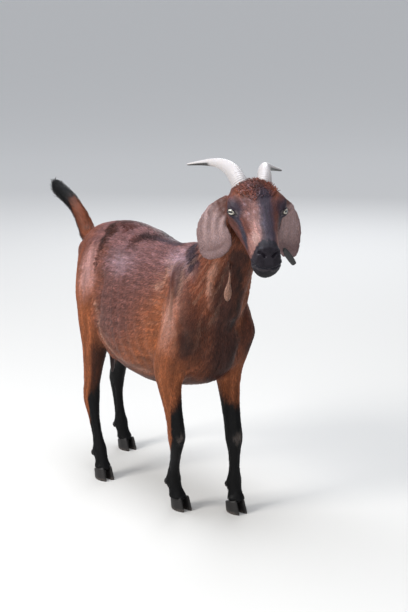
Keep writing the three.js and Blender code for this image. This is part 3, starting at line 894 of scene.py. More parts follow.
tag = bmesh.new()
bm = ball(24, 40)
places, _ = pull_along(bm, TAG_PATH, TAG_ROWS, TAG_SIDE, blunt=0.3)
move_vertices(bm, from_frame(yaw_frame, places) - MIDDLE)
add_to(tag, bm)
stud_at = through(place_marks(TAG_PATH), TAG_PATH, np.array([0.12]))[0]
ahead = unit(np.array(TAG_PATH[1]) - np.array(TAG_PATH[0]))
face = unit(np.cross(ahead, unit(TAG_SIDE - ahead @ TAG_SIDE * ahead)))
face = face if face[0] > 0 else -face
stud_path = [stud_at - 0.006 * face, stud_at, stud_at + 0.0032 * face]
bm = ball(24, 16)
places, _ = pull_along(bm, stud_path, STUD_ROWS, ahead, blunt=0.3)
move_vertices(bm, from_frame(yaw_frame, places) - MIDDLE)
add_to(tag, bm)
tag_piece = finished("ear_tag_strip", tag, "tag", "ear_tag")

# %% [markdown]
# ## The lie of the coat
# Hair grows with the body: back along the trunk, down the neck and legs, up the face from nose to
# poll, and to the tips of ears and tail. One direction per part, mixed by each part's share and
# laid flat on the skin, gives a smooth field of directions.

# %% Directions along each part
TAIL_PATH = [(-0.362, 0, 0.590), (-0.406, 0, 0.604), (-0.428, -0.004, 0.642), (-0.458, -0.010, 0.676),
             (-0.496, -0.014, 0.698), (-0.530, -0.018, 0.712), (-0.558, -0.022, 0.734)]
HEAD_LINE = from_frame(skull_frame, [(-0.11, 0, -0.02), (0.175, 0, -0.01)])
CENTRE_LINES = {"trunk": [(-0.40, 0, 0.50), (0.27, 0, 0.50)],
                "neck": [(0.132, 0, 0.500), (0.246, 0.001, 0.634), (0.362, -0.002, 0.790)],
                "head": HEAD_LINE, "tail": TAIL_PATH, "udder": [(-0.266, 0, 0.41), (-0.266, 0, 0.24)],
                "wattle_right": WATTLE_PATH, **LEG_JOINTS}


def along_path(p, path):
    """The path's own direction beside each point."""
    corners = np.asarray(path, float)
    _, place = nearest_on_path(p, corners)
    marks = place_marks(corners)
    middles = (marks[1:] + marks[:-1]) / 2
    return mixed_along(place, middles, unit(np.diff(corners, axis=0)))


def hair_direction(p, n, part):
    """Which way the hair lies at each point, flat on the skin."""
    skull_axes, yaw_axes = np.array(skull_frame.to_3x3()), np.array(yaw_frame.to_3x3())
    sideways = np.sign(p[:, 1]) * step(0, 0.03, np.abs(p[:, 1]))
    low = step(0.62, 0.45, p[:, 2])
    trunk = np.stack([-np.ones(len(p)), 0.10 * sideways, -0.25 - 0.55 * low], 1)
    front = step(0.17, 0.25, p[:, 0])[:, None]
    trunk = (1 - front) * unit(trunk) + front * np.array([-0.25, 0, -1.0])
    way = part["trunk"][:, None] * unit(trunk)
    way += part["neck"][:, None] * unit(np.array([-0.52, 0, -0.85]))
    s = in_frame(skull_frame, p)
    face = np.stack([-np.ones(len(p)), 0.35 * np.clip(s[:, 1] / 0.05, -1, 1), -0.35 * np.ones(len(p))], 1)
    way += part["head"][:, None] * (unit(face) @ skull_axes.T)
    for side, sign in BOTH_SIDES:
        q = flipped(in_frame(yaw_frame, p), sign)
        ear_way = flipped(along_path(q, EAR_PATH), sign)
        way += part[f"ear_{side}"][:, None] * (ear_way @ yaw_axes.T)
    for leg in LIMBS:
        top = step(0.38, 0.50, p[:, 2])[:, None]
        way += part[leg][:, None] * unit((1 - top) * along_path(p, LEG_JOINTS[leg])
                                         + top * np.array([-0.55, 0, -0.75]))
    way += part["tail"][:, None] * along_path(p, TAIL_PATH)
    way += (part["udder"] + part["wattle_right"])[:, None] * np.array([-0.2, 0, -1.0])
    return unit(way - (way * n).sum(1, keepdims=True) * n)


# %% [markdown]
# Streaks that follow the hair, and the picture that the coat's colours can be baked into, need to
# know where on its part a point lies. A flat map of each part is unrolled round its centre line.

# %% Round and along each part
def unwrapped(p, n, name):
    """Each point's place on a flat map of its part: round the centre line and along it, 0 to 1."""
    if name.startswith("ear"):
        sign = 1 if name == "ear_left" else -1
        down, across = on_ear(p, sign)
        return np.clip(across / 0.10 + 0.5, 0, 1) * 0.5 + 0.5 * (faces_front(p, n, sign) > 0), down
    path = np.asarray(CENTRE_LINES[name], float)
    _, along = nearest_on_path(p, path)
    centre = mixed_along(along, place_marks(path), path)
    ahead = along_path(p, path)
    side = unit(np.array([0, 1.0, 0]) - ahead[:, 1:2] * ahead)
    other = np.cross(ahead, side)
    d = p - centre
    return np.arctan2((d * side).sum(1), (d * other).sum(1)) / (2 * math.pi) + 0.5, along


GIRTH = {"trunk": 0.62, "neck": 0.42, "head": 0.34}  # metres round a part, and along it
REACH = {"trunk": 0.67, "neck": 0.36, "head": 0.285}
SLIM_GIRTH, SLIM_REACH = 0.10, 0.45  # of the other parts
PART_GAP = 0.37  # each part reads its noise this far from the part before


def owner_of(part):
    """The number in PARTS of the part that has the largest share at each point."""
    return np.argmax(np.column_stack([part[name] for name in PARTS]), 1)


def combed(p, n, part):
    """Metres round and along the part that each point lies on, for noise that follows the hair."""
    owner = owner_of(part)
    comb = np.zeros((len(p), 3))
    for number, name in enumerate(PARTS):
        mine = owner == number
        around, along = unwrapped(p[mine], n[mine], name)
        comb[mine, 0] = around * GIRTH.get(name, SLIM_GIRTH)
        comb[mine, 1] = along * REACH.get(name, SLIM_REACH)
        comb[mine, 2] = PART_GAP * number
    return comb


direction = hair_direction(points, normals, part)
print("directions at", len(direction), "vertices")

# %% [markdown]
# ## Markings
# She is a bay goat: red-brown flanks with darker, ruffled patches, a back with a mauve bloom,
# black stockings, a slate and black face and grey-mauve ears. Light is painted in as well: the
# bloom is partly a painted sheen, there are painted highlights over shoulder, hip and folds, and
# painted shade in the hollows by the hip, in creases, on the chest and under the belly. The colours
# are laid over each other like thin coats of paint, each through a soft mask: a blob, or a stripe
# along a path. Skin and hair take their colour from this one function, so they carry the same markings.

# %% Colours and masks
BAY, DARK_BAY, ORANGE = (0.145, 0.043, 0.021), (0.030, 0.011, 0.009), (0.290, 0.090, 0.034)
# BLOOM_AND_SHEEN is partly the coat's own mauve tint and partly a painted sheen on the back
SPECKLED, BLOOM_AND_SHEEN, TAN = (0.098, 0.044, 0.040), (0.140, 0.070, 0.072), (0.380, 0.210, 0.150)
BLACK, SLATE, PINKISH = (0.004, 0.004, 0.0045), (0.037, 0.031, 0.048), (0.300, 0.155, 0.135)
CHESTNUT, EAR_MAUVE, CALLUS = (0.085, 0.024, 0.014), (0.390, 0.270, 0.265), (0.090, 0.074, 0.066)
MUZZLE, LID_GREY = (0.013, 0.012, 0.019), (0.300, 0.250, 0.250)


def mottle(p, size, seed):
    """Smooth random values, mostly from -1 to 1, that change over about this size."""
    draw = np.random.default_rng(seed)
    total = np.zeros(len(p))
    for _ in range(9):
        way = unit(draw.normal(size=3)) / (size * draw.uniform(0.8, 1.7))
        total += np.sin(2 * math.pi * (p @ way) + draw.uniform(0, 2 * math.pi))
    return total / 3


def blob(p, centre, radius, soft=0.45):
    d = np.linalg.norm((p - np.asarray(centre)) / np.asarray(radius), axis=1)
    return step(1 + soft, 1 - soft, d)


def stripe(p, path, width, soft=0.6):
    return step(1 + soft, 1 - soft, nearest_on_path(p, path)[0] / width)


def lay(paint, colour, mask):
    """Lays a colour over the paint, fully where mask is 1."""
    return paint + np.clip(mask, 0, 1)[:, None] * (np.asarray(colour) - paint)


def lay_all(paint, rows, places):
    """Lays one row's colour after another: its colour and strength, blob or stripe, which of the
    places that is measured on, and where it lies, how big it is and how soft."""
    for colour, strength, mask, which, *shape in rows:
        paint = lay(paint, colour, strength * mask(places[which], *shape))
    return paint


def wobbled(p, size, amount, seeds=(1, 2, 3)):
    """The points moved a little at random, so that a mask's edge isn't drawn with a ruler."""
    return p + amount * np.stack([mottle(p, size, seed) for seed in seeds], 1)


print("mottle from", mottle(points, 0.03, 1).min().round(2), "to", mottle(points, 0.03, 1).max().round(2))

# %% [markdown]
# The body's marks are rows of tables, laid on in order from broad to narrow. A row says which
# points it's measured on: "same" marks are alike on both sides with a wavy edge, "even" ones have
# no wavy edge, and "own" ones belong to one side only.

# %% Markings of the body
# where the coat of the back lies ruffled, its colour partly painted shade of the hollows round the hip
# bone: its line, half its width, its colour and how strong
RUFFLED_AND_SHADED = [([(-0.220, 0.030, 0.656), (-0.200, 0.044, 0.646), (-0.205, 0.060, 0.624)], 0.0210,
            (0.028, 0.009, 0.006), 1.0),
           ([(-0.212, 0.068, 0.606), (-0.212, 0.083, 0.560)], 0.0070, (0.050, 0.019, 0.016), 0.85),
           ([(-0.190, 0.014, 0.664), (-0.135, 0.026, 0.662)], 0.0140, (0.046, 0.014, 0.011), 1.0),
           ([(-0.062, 0.030, 0.649), (-0.028, 0.015, 0.653)], 0.0135, (0.022, 0.008, 0.008), 1.0),
           ([(-0.088, 0.054, 0.633), (-0.070, 0.042, 0.642)], 0.0120, (0.046, 0.017, 0.015), 1.0),
           ([(-0.010, 0.012, 0.651), (0.080, 0.010, 0.652)], 0.0110, (0.030, 0.019, 0.027), 0.85)]
WITHERS = [(0.158, 0.012, 0.668), (0.172, 0.036, 0.662), (0.206, 0.054, 0.640)]
# a painted sheen: the pale mauve of a gloss on the coat, laid in as colour
PAINTED_SHEEN_MAUVE = (0.290, 0.195, 0.225)

FLANK_PAINT = [
    (ORANGE, 0.75, blob, "same", (0.085, 0.10, 0.400), (0.11, 0.3, 0.12), 0.8),
    (ORANGE, 0.7, blob, "same", (-0.290, 0.09, 0.420), (0.11, 0.3, 0.16), 0.8),
    (ORANGE, 0.55, stripe, "same", [(0.110, 0.08, 0.600), (0.105, 0.10, 0.500)], 0.022)]
BACK_PAINT = [
    # painted highlights: pale gleams laid into the colour over the shoulder, the hip and the thigh
    (PAINTED_SHEEN_MAUVE, 0.80, blob, "same", (0.146, 0.060, 0.625), (0.055, 0.05, 0.026), 0.9),
    (PAINTED_SHEEN_MAUVE, 0.52, blob, "same", (-0.105, 0.074, 0.589), (0.055, 0.05, 0.026), 0.9),
    ((0.520, 0.310, 0.300), 0.65, blob, "same", (-0.250, 0.092, 0.545), (0.030, 0.05, 0.055), 0.9),
    ((0.460, 0.250, 0.200), 0.6, blob, "same", (0.160, 0.100, 0.490), (0.030, 0.05, 0.050), 0.9),
    ((0.150, 0.045, 0.018), 0.8, blob, "same", (0.065, 0.100, 0.365), (0.055, 0.3, 0.035), 0.8),
    # the ruffled places, darkened partly as painted shade of the hollows round the hip bone, and a dark
    # line down the back
    *((colour, strength, stripe, "same", path, width, 0.55) for path, width, colour, strength in RUFFLED_AND_SHADED),
    (DARK_BAY, 0.75, stripe, "same", [(-0.250, 0, 0.668), (-0.080, 0, 0.668), (0.10, 0, 0.66)], 0.008),
    # the shoulder's dark patch with its tan edge, its point, darkened partly as painted shade of the crease
    # beside the chest, the chest, dark partly as painted shade between the forelegs, and the rump
    ((0.062, 0.021, 0.016), 0.85, blob, "same", (0.166, 0.078, 0.592), (0.031, 0.04, 0.036), 0.4),
    (TAN, 0.5, stripe, "same", [(0.122, 0.062, 0.612), (0.100, 0.070, 0.592), (0.090, 0.076, 0.560)],
     0.0075, 0.9),
    ((0.022, 0.008, 0.007), 0.85, blob, "same", (0.221, 0.092, 0.446), (0.017, 0.027, 0.050), 0.8),
    ((0.014, 0.006, 0.006), 0.92, blob, "own", (0.240, 0.006, 0.412), (0.05, 0.034, 0.058), 0.6),
    (BAY, 0.7, blob, "same", (-0.330, 0.05, 0.600), (0.06, 0.10, 0.06))]
NECK_PAINT = [
    # an orange side, a dark band down the front to the chest, partly painted shade on the neck's front, a
    # lighter wash and a black line
    (ORANGE, 0.55, stripe, "own", [(0.350, 0.030, 0.670), (0.305, 0.042, 0.580), (0.262, 0.050, 0.480)],
     0.022),
    ((0.042, 0.015, 0.011), 0.9, stripe, "own",
     [(0.345, -0.022, 0.664), (0.300, -0.026, 0.600), (0.280, -0.022, 0.540), (0.262, -0.010, 0.480),
      (0.246, -0.002, 0.440), (0.200, 0.005, 0.340)], 0.024, 0.35),
    ((0.050, 0.020, 0.014), 0.55, stripe, "own",
     [(0.347, 0.012, 0.640), (0.325, 0.018, 0.590), (0.300, 0.026, 0.540)], 0.015, 0.9),
    ((0.014, 0.007, 0.006), 0.85, stripe, "own",
     [(0.334, -0.012, 0.640), (0.316, -0.004, 0.590), (0.297, 0.003, 0.541), (0.262, 0.010, 0.485)],
     0.0075, 0.9),
    # the pale ridge beside it, partly a painted highlight on the long muscle, black at the withers, and a
    # painted highlight along the fold of skin from the stifle to the belly
    ((0.350, 0.180, 0.130), 0.75, stripe, "even",
     [(0.300, 0.056, 0.655), (0.272, 0.054, 0.612), (0.266, 0.052, 0.577)], 0.0080, 0.9),
    ((0.250, 0.110, 0.075), 0.5, stripe, "even", [(0.266, 0.052, 0.577), (0.262, 0.047, 0.541)],
     0.0070, 0.9),
    ((0.020, 0.015, 0.022), 0.92, stripe, "same", WITHERS, 0.022, 0.5),
    (TAN, 0.6, stripe, "even", [(-0.196, 0.102, 0.470), (-0.160, 0.105, 0.395), (-0.090, 0.104, 0.352),
                                (0.030, 0.08, 0.335)], 0.0060, 0.9)]


def paint_body(p, q, n):
    """Paint of the body. q is p with its edges combed out along the hair."""
    m = folded(wobbled(q, 0.018, 0.004, seeds=(14, 15, 16)))
    places = {"same": m, "even": folded(p), "own": q}
    x, z = m[:, 0], m[:, 2]
    paint = lay_all(np.tile(np.array(BAY), (len(q), 1)), FLANK_PAINT, places)
    behind = step(0.09, -0.09, x - 0.009 - 0.37 * (z - 0.395)) * step(-0.235, -0.165, x)
    paint = lay(paint, SPECKLED, 0.8 * behind * step(0.350, 0.450, z))
    # painted sheen: the mauve is laid on the surfaces of the back that face up
    top_sheen = step(0.46, 0.64, z) * step(-0.10, 0.75, n[:, 2]) * step(0.32, 0.18, x)
    paint = lay(paint, BLOOM_AND_SHEEN, 0.80 * top_sheen)
    # painted shade: the chest is darkened where its surface faces forward
    paint = lay(paint, DARK_BAY, 0.6 * step(0.17, 0.24, x) * step(0.62, 0.50, z) * step(0.1, 0.7, n[:, 0]))
    paint = lay_all(paint, BACK_PAINT + NECK_PAINT, places)
    # painted shade: low surfaces that face down, under the belly and chest, are darkened
    return lay(paint, DARK_BAY, 0.6 * step(-0.35, -0.85, n[:, 2]) * step(0.40, 0.36, z))


print("paint rows on the body:", len(FLANK_PAINT + BACK_PAINT + NECK_PAINT))

# %% [markdown]
# Her black stockings don't end level. Their edge runs lower on the outer rear side, so it's worked
# out from where a point lies round the leg's own axis, and not from its height alone. The front
# of each knee carries a bare grey callus, as goats kneel to feed.

# %% Markings of the legs
BLACK_FROM = {"foreleg_right": 0.285, "foreleg_left": 0.266, "hindleg_right": 0.236, "hindleg_left": 0.245}
LOWER_BEHIND = {"fore": 0.190, "hind": 0.115}  # how much lower the black ends on the outer rear side
LEG_RADIUS = 0.018
CALLUS_AT, CALLUS_SIZE = (0.022, 0, 0.002), (0.012, 0.0075, 0.011)  # its place from the knee's joint


def paint_legs(paint, q, p, part):
    """Orange upper legs and black stockings, laid over the body's paint."""
    for leg in LIMBS:
        kind = leg[:4]
        joints = np.array(LEG_JOINTS[leg])[::-1]
        outward = math.copysign(1, joints[0, 1])
        axis = [np.interp(p[:, 2], joints[:, 2], joints[:, i]) for i in (0, 1)]
        out, fore = outward * (p[:, 1] - axis[1]) / LEG_RADIUS, (p[:, 0] - axis[0]) / LEG_RADIUS
        outer_rear = step(0.1, 1.0, 0.75 * out - 0.55 * fore)
        edge = BLACK_FROM[leg] - LOWER_BEHIND[kind] * outer_rear + 0.016 * step(0.4, -0.9, out)
        lower = step(0.42, 0.34, p[:, 2])
        paint = lay(paint, np.array(ORANGE) * 0.85, 0.7 * part[leg] * lower)
        if kind == "hind":
            shin = step(-0.2, 0.9, fore - 0.6 * out)
            paint = lay(paint, (0.015, 0.006, 0.005), 0.85 * part[leg] * shin * step(0.40, 0.34, p[:, 2]))
        paint = lay(paint, BLACK, part[leg] * lower * step(edge + 0.024, edge - 0.014, q[:, 2]))
        if kind == "fore":
            callus = np.array(LEG_JOINTS[leg][3]) + CALLUS_AT
            paint = lay(paint, CALLUS, 0.9 * blob(q, callus, CALLUS_SIZE, 0.8))
    return paint


print("black from:", BLACK_FROM)

# %% [markdown]
# The face is laid out in the skull's frame. Its left and right halves differ: a pale stripe runs
# down one side of the bridge and a slate one down the other. Here too, "same" marks are alike on
# both sides and "own" ones belong to one side.

# %% Markings of the head
BROW_PAINT = [
    ((0.150, 0.066, 0.058), 1, blob, "own", (0.030, -0.012, 0.034), (0.050, 0.030, 0.02)),
    (CHESTNUT, 1, blob, "same", (-0.040, 0.02, 0.040), (0.030, 0.05, 0.03)),
    ((0.190, 0.055, 0.026), 0.7, blob, "same", (-0.024, 0.040, 0.034), (0.018, 0.016, 0.016), 0.8),
    ((0.020, 0.010, 0.011), 0.8, blob, "own", (-0.030, 0.006, 0.044), (0.018, 0.014, 0.02), 0.8)]
FACE_PAINT = [
    # slate round the eye and down in front of it
    (SLATE, 0.9, blob, "same", (0.002, 0.052, 0.014), (0.028, 0.022, 0.021)),
    (SLATE, 1, stripe, "same", [(0.018, 0.049, 0.003), (0.047, 0.039, -0.012), (0.076, 0.033, -0.025)],
     0.0118),
    # the bridge: a pale stripe on one side, a slate one on the other
    (PINKISH, 0.35, stripe, "own", [(0.010, -0.016, 0.036), (0.060, -0.020, 0.028)], 0.0095),
    (PINKISH, 0.85, stripe, "own", [(0.066, -0.021, 0.026), (0.112, -0.019, 0.024)], 0.0110),
    (SLATE, 0.92, stripe, "own", [(-0.008, 0.013, 0.040), (0.050, 0.010, 0.030), (0.112, 0.006, 0.028)],
     0.0160),
    # the jaw, and the pale side of the muzzle
    ((0.085, 0.034, 0.028), 0.8, blob, "same", (-0.020, 0.05, -0.045), (0.06, 0.05, 0.035)),
    (PINKISH, 0.8, blob, "same", (0.110, 0.033, 0.000), (0.032, 0.013, 0.022)),
    ((0.460, 0.300, 0.270), 0.7, blob, "own", (0.104, -0.024, 0.018), (0.018, 0.009, 0.012), 0.8)]
LOWER_LIP_EDGE = raised(MOUTH[:3], -0.0055)


def paint_head(p):
    """Paint of the head: brow, freckles, face, black muzzle and mouth, and grey round the eyes."""
    s = in_frame(skull_frame, wobbled(wobbled(p, 0.025, 0.0025), 0.006, 0.0010))
    places = {"own": s, "same": folded(s)}
    paint = lay_all(np.tile(np.array((0.120, 0.042, 0.032)), (len(p), 1)), BROW_PAINT, places)
    freckles = step(-0.2, 0.9, mottle(p * [1, 1, 0.6], 0.010, 12))
    freckles = freckles * blob(s, (0.020, -0.016, 0.034), (0.07, 0.026, 0.02))
    paint = lay(paint, (0.320, 0.205, 0.225), 0.85 * freckles)
    flecks = step(0.25, 0.9, mottle(p * [1, 1, 0.7], 0.0055, 31))
    spread_of_flecks = blob(s, (0.012, -0.014, 0.038), (0.060, 0.030, 0.02))
    paint = lay(paint, (0.040, 0.016, 0.016), 0.6 * flecks * spread_of_flecks)
    paint = lay_all(paint, FACE_PAINT, places)
    back = 0.011 * step(0.014, 0.028, np.abs(s[:, 1])) * step(-0.040, -0.020, s[:, 2])
    black = step(0.111, 0.121, s[:, 0] - back - 0.15 * (s[:, 2] - 0.01) + 0.003 * mottle(p, 0.01, 5))
    paint = lay(paint, MUZZLE, 0.97 * black)
    paint = lay(paint, BLACK, 0.6 * black * step(-0.022, -0.040, s[:, 2]))
    mouth = mouth_side(s)
    paint = lay(paint, MUZZLE, 0.8 * stripe(mouth, MOUTH, 0.0045))
    paint = lay(paint, (0.150, 0.130, 0.140), 0.22 * stripe(mouth, LOWER_LIP_EDGE, 0.0026) * black)
    for side, sign in BOTH_SIDES:
        along, outside, r, _ = lid_place(p, side, sign)
        close = step(0.022, 0.019, r)
        grey = 0.6 * close * step(30, 44, along) * step(26, 12, outside)
        paint = lay(paint, np.array(LID_GREY) * 0.6, grey)
        paint = lay(paint, (0.010, 0.008, 0.010), close * step(9.5, 6.5, outside))
    return paint


print("paint rows on the head:", len(BROW_PAINT + FACE_PAINT))

# %% [markdown]
# The ears have faint lengthwise streaks, and are browner at their roots and rims, with painted shade
# low down and in the crease across them. The tail turns black from its middle on, with a dark
# fringe under its root. Then all the paint is put together, each part's by its own share, and the bare
# places are found.

# %% Markings of the ears and tail, and all of them together
EAR_STREAKS = 0.0095  # metres from one to the next


def paint_ears_and_tail(paint, p, n, part):
    """Ears, tail, udder and wattle, laid over the paint of the body."""
    for side, sign in BOTH_SIDES:
        down, across = on_ear(p, sign)
        leaf = lay(np.tile(np.array(EAR_MAUVE), (len(p), 1)), (0.150, 0.085, 0.080),
                   0.55 * step(0.022, 0.040, np.abs(across + 0.004 * mottle(p, 0.02, 6))))
        uneven = 3 * down + 1.6 * mottle(p, 0.03, 13)
        streaks = step(0, 1, np.cos(across * 2 * math.pi / EAR_STREAKS + uneven))
        streaks = 0.22 * streaks * step(0.8, 0.5, down)
        leaf = lay(leaf, (0.170, 0.098, 0.090), 0.6 * streaks)
        # painted shade: the lower part of each ear is darkened
        leaf = lay(leaf, (0.190, 0.118, 0.116), 0.8 * step(0.55, 0.85, down))
        leaf = lay(leaf, CHESTNUT, 0.9 * step(0.34, 0.12, down + 0.05 * mottle(p, 0.012, 7)))
        # painted shade in the crease across the ear
        leaf = lay(leaf, (0.120, 0.070, 0.068), 0.3 * np.exp(-(((down - 0.80) / 0.02) ** 2)))
        paint = lay(paint, leaf, step(0.2, 0.7, part[f"ear_{side}"]))
    _, place = nearest_on_path(p, TAIL_PATH)
    black = step(0.46, 0.62, place + 0.12 * step(0.6, -0.5, n[:, 2]) + 0.03 * mottle(p, 0.012, 8))
    tail = lay(np.tile(np.array(BAY) * 0.9, (len(p), 1)), BLACK, black)
    tail = lay(tail, (0.030, 0.014, 0.013), 0.85 * step(0.55, 0.25, place)
               * step(0.0, -0.7, n[:, 2] + 0.7 * n[:, 0]))
    paint = lay(paint, tail, step(0.3, 0.8, part["tail"]))
    paint = lay(paint, (0.060, 0.040, 0.038), part["udder"])
    wattle = step(0.0115, 0.0095, nearest_on_path(p, WATTLE_PATH)[0]) * step(0.636, 0.626, p[:, 2])
    return lay(paint, (0.300, 0.165, 0.120), wattle)


def markings(p, n, part):
    """The coat's colour at each point. The edges of its marks are combed out along the hair."""
    comb, way = combed(p, n, part), hair_direction(p, n, part)
    strands = mottle(comb * [1, 0.12, 1], 0.0055, 9)
    q = wobbled(p, 0.030, 0.0030) + way * (0.0065 * strands)[:, None]
    paint = paint_body(p, q, n)
    fine = step(0.1, 1.1, mottle(comb * [1, 0.08, 1], 0.0060, 21)) * step(0.03, 0.10, p[:, 0])
    paint = lay(paint, np.array(TAN) * 0.75, 0.27 * fine * step(0.02, 0.045, np.abs(p[:, 1]))
                * step(0.40, 0.50, p[:, 2]))
    paint = paint_legs(paint, q, p, part)
    on_head = step(0.30, 0.80, part["head"] + 0.10 * mottle(p, 0.02, 4))
    return np.clip(paint_ears_and_tail(lay(paint, paint_head(p), on_head), p, n, part), 0.004, 1)


def bare_skin(p, part):
    """1 where the skin shows without hair: nose pad, lips, lid rims and teats."""
    s = in_frame(skull_frame, p)
    nose = step(0.012, 0.007, np.abs(s[:, 1])) * step(0.146, 0.152, s[:, 0]) * step(-0.014, -0.008, s[:, 2])
    lips = stripe(mouth_side(s), MOUTH, 0.0030, 0.3)
    bare = np.clip(nose + lips, 0, 1) * part["head"]
    for side, sign in BOTH_SIDES:
        _, outside, r, _ = lid_place(p, side, sign)
        bare = np.maximum(bare, step(0.021, 0.019, r) * step(9, 6, outside))
        q = flipped(s, sign)
        bare = np.maximum(bare, stripe(q, NOSTRIL, 0.0058, 0.3) * part["head"])
    return np.maximum(bare, part["udder"] * step(0.312, 0.300, p[:, 2]))


skin_paint = markings(points, normals, part)
skin_bare = bare_skin(points, part)
print("mean colour:", skin_paint.mean(0).round(3), "bare share:", skin_bare.mean().round(3))

# %% [markdown]
# Length, width, lift and density are also mixed from one row for each part, and a few places get
# hair of their own: curls on the poll, a fringe on the tail, ruffles at hips and withers.

# %% Length, width, lift and density of the hair
#        length, width, lift of the tip, tufts per square millimetre
HAIR = {"trunk": (0.0120, 0.0023, 0.0013, 1 / 9.8), "neck": (0.0130, 0.0022, 0.0015, 1 / 9.4),
        "head": (0.0052, 0.0011, 0.0008, 1 / 3.9), "tail": (0.0220, 0.0018, 0.0040, 1 / 4.4),
        "udder": (0.0070, 0.0016, 0.0010, 1 / 9.0), "wattle": (0.0060, 0.0013, 0.0008, 1 / 4.0),
        "ear": (0.0050, 0.0011, 0.0006, 1 / 5.4), "foreleg": (0.0085, 0.0016, 0.0013, 1 / 6.3),
        "hindleg": (0.0085, 0.0016, 0.0013, 1 / 6.4)}

hair = sum(part[name][:, None] * np.array(HAIR[name.split("_")[0]]) for name in PARTS)
length, width, lift, density = hair.T
s_points = in_frame(skull_frame, points)
left_points = folded(points)
poll = blob(s_points, (-0.036, 0.0, 0.046), (0.032, 0.038, 0.028)) * part["head"]
ear_root = np.zeros(len(points))
for side, sign in BOTH_SIDES:
    ear_root += blob(flipped(in_frame(yaw_frame, points), sign), (-0.047, 0.052, 0.022), 0.013)
tail_place = nearest_on_path(points, TAIL_PATH)[1]
fringe = part["tail"] * step(0.02, 0.25, tail_place) * step(0.0, -0.7, normals[:, 2] + 0.7 * normals[:, 0])
brush = part["tail"] * step(0.45, 0.9, tail_place)
ruffles = sum(stripe(left_points, path, 0.014) for path, *_ in RUFFLED_AND_SHADED[:5])
ruffles = np.clip(ruffles + stripe(left_points, WITHERS, 0.015), 0, 1)
breech = blob(left_points, (-0.360, 0.06, 0.500), (0.035, 0.06, 0.10))
chest = stripe(points, [(0.272, 0, 0.470), (0.244, 0, 0.385), (0.200, 0, 0.335)], 0.030)
pasterns = sum(blob(points, np.array(LEG_JOINTS[leg][4]) + (-0.014, 0, -0.008), 0.016) for leg in LIMBS)
length += 0.0050 * poll + 0.005 * ear_root + 0.008 * fringe + 0.010 * brush + 0.004 * ruffles
length += 0.005 * breech + 0.005 * chest + 0.005 * pasterns
length += 0.004 * sum(part[leg] for leg in LIMBS) * step(0.060, 0.040, points[:, 2])
width += 0.0012 * poll + 0.0004 * ruffles
lift += 0.0020 * poll + 0.002 * ear_root + 0.0025 * fringe + 0.0035 * brush + 0.0012 * ruffles
lift += 0.0010 * (chest + breech + pasterns)
muzzle = step(0.095, 0.130, s_points[:, 0]) * part["head"]
length *= 1 - 0.45 * muzzle
lift *= 1 - 0.4 * muzzle
density *= (1 + 0.3 * muzzle) * (1 - step(0.35, 0.75, skin_bare))
for side, sign in BOTH_SIDES:
    _, outside, r, _ = lid_place(points, side, sign)
    lids = step(0.026, 0.019, r)
    length *= 1 - 0.6 * lids
    width *= 1 - 0.4 * lids
    density *= 1 - step(0.021, 0.020, r) * step(11, 7, outside)
unruly = np.clip(0.22 + 1.0 * poll + 0.5 * ruffles + 0.3 * fringe, 0, 2.2)
curl = 0.55 * poll + 0.08
print("hair length, mm:", (length.min() * 1000).round(1), "to", (length.max() * 1000).round(1))

# %% [markdown]
# ## Tufts
# A tuft is a lock of many hairs that stick together. Each is a slim closed blade of seven points:
# three at the root, three at its widest, one at the tip. Array sums make all of them at once.
# Roots are scattered over the skin by area and density, and each blade's middle and tip are laid
# back on the skin they reach, so that even long hair follows a round flank.

# %% Scatter the roots
corners = np.empty(len(skin_mesh.polygons) * 3, np.int32)
skin_mesh.polygons.foreach_get("vertices", corners)
corners = corners.reshape(-1, 3)
a, b, c = (points[corners[:, i]] for i in range(3))
area = np.linalg.norm(np.cross(b - a, c - a), axis=1) / 2
wanted = np.cumsum(area * 1e6 * density[corners].mean(1))
TUFT_COUNT = int(wanted[-1])
marks = (np.arange(TUFT_COUNT) + rng.random(TUFT_COUNT)) * wanted[-1] / TUFT_COUNT
triangle = np.minimum(np.searchsorted(wanted, marks), len(corners) - 1)
weights = rng.random((TUFT_COUNT, 2))
weights = np.where(weights.sum(1, keepdims=True) > 1, 1 - weights, weights)
weights = np.column_stack([1 - weights.sum(1), weights])


def at_roots(values):
    """Values of the skin's vertices, mixed at the roots of the tufts."""
    picked = values[corners[triangle]]
    if picked.ndim == 3:
        return (weights[:, :, None] * picked).sum(1)
    return (weights * picked).sum(1)


root, root_normal = at_roots(points), unit(at_roots(normals))
root_part = {name: at_roots(part[name]) for name in PARTS}
way, tuft_length, tuft_width = at_roots(direction), at_roots(length), at_roots(width)
tuft_lift, tuft_curl, tuft_unruly = at_roots(lift), at_roots(curl), at_roots(unruly)
print("area of skin, m2:", area.sum().round(3), "tufts:", TUFT_COUNT)

# %% Bend each blade along the skin
draw = rng.normal(size=(TUFT_COUNT, 4))
side_way = np.cross(root_normal, way)
way = unit(way + side_way * (tuft_unruly * draw[:, 0])[:, None])
tuft_length = tuft_length * np.clip(1 + 0.22 * draw[:, 1], 0.5, 1.7)
tuft_lift = tuft_lift * np.clip(0.75 + 0.30 * draw[:, 2], 0.15, 1.8)
skin_tree = BVHTree.FromPolygons(points.tolist(), corners.tolist())


def laid_on_skin(p, height):
    """The points moved onto the skin, then raised by height. Also the skin's direction there."""
    hits = [skin_tree.find_nearest(q) for q in p.tolist()]
    place = np.array([tuple(h[0]) for h in hits])
    face = np.array([h[2] for h in hits])
    n = unit(normals[corners[face]].mean(1))
    n = unit(n + 0.8 * root_normal)
    return place + n * height[:, None], n


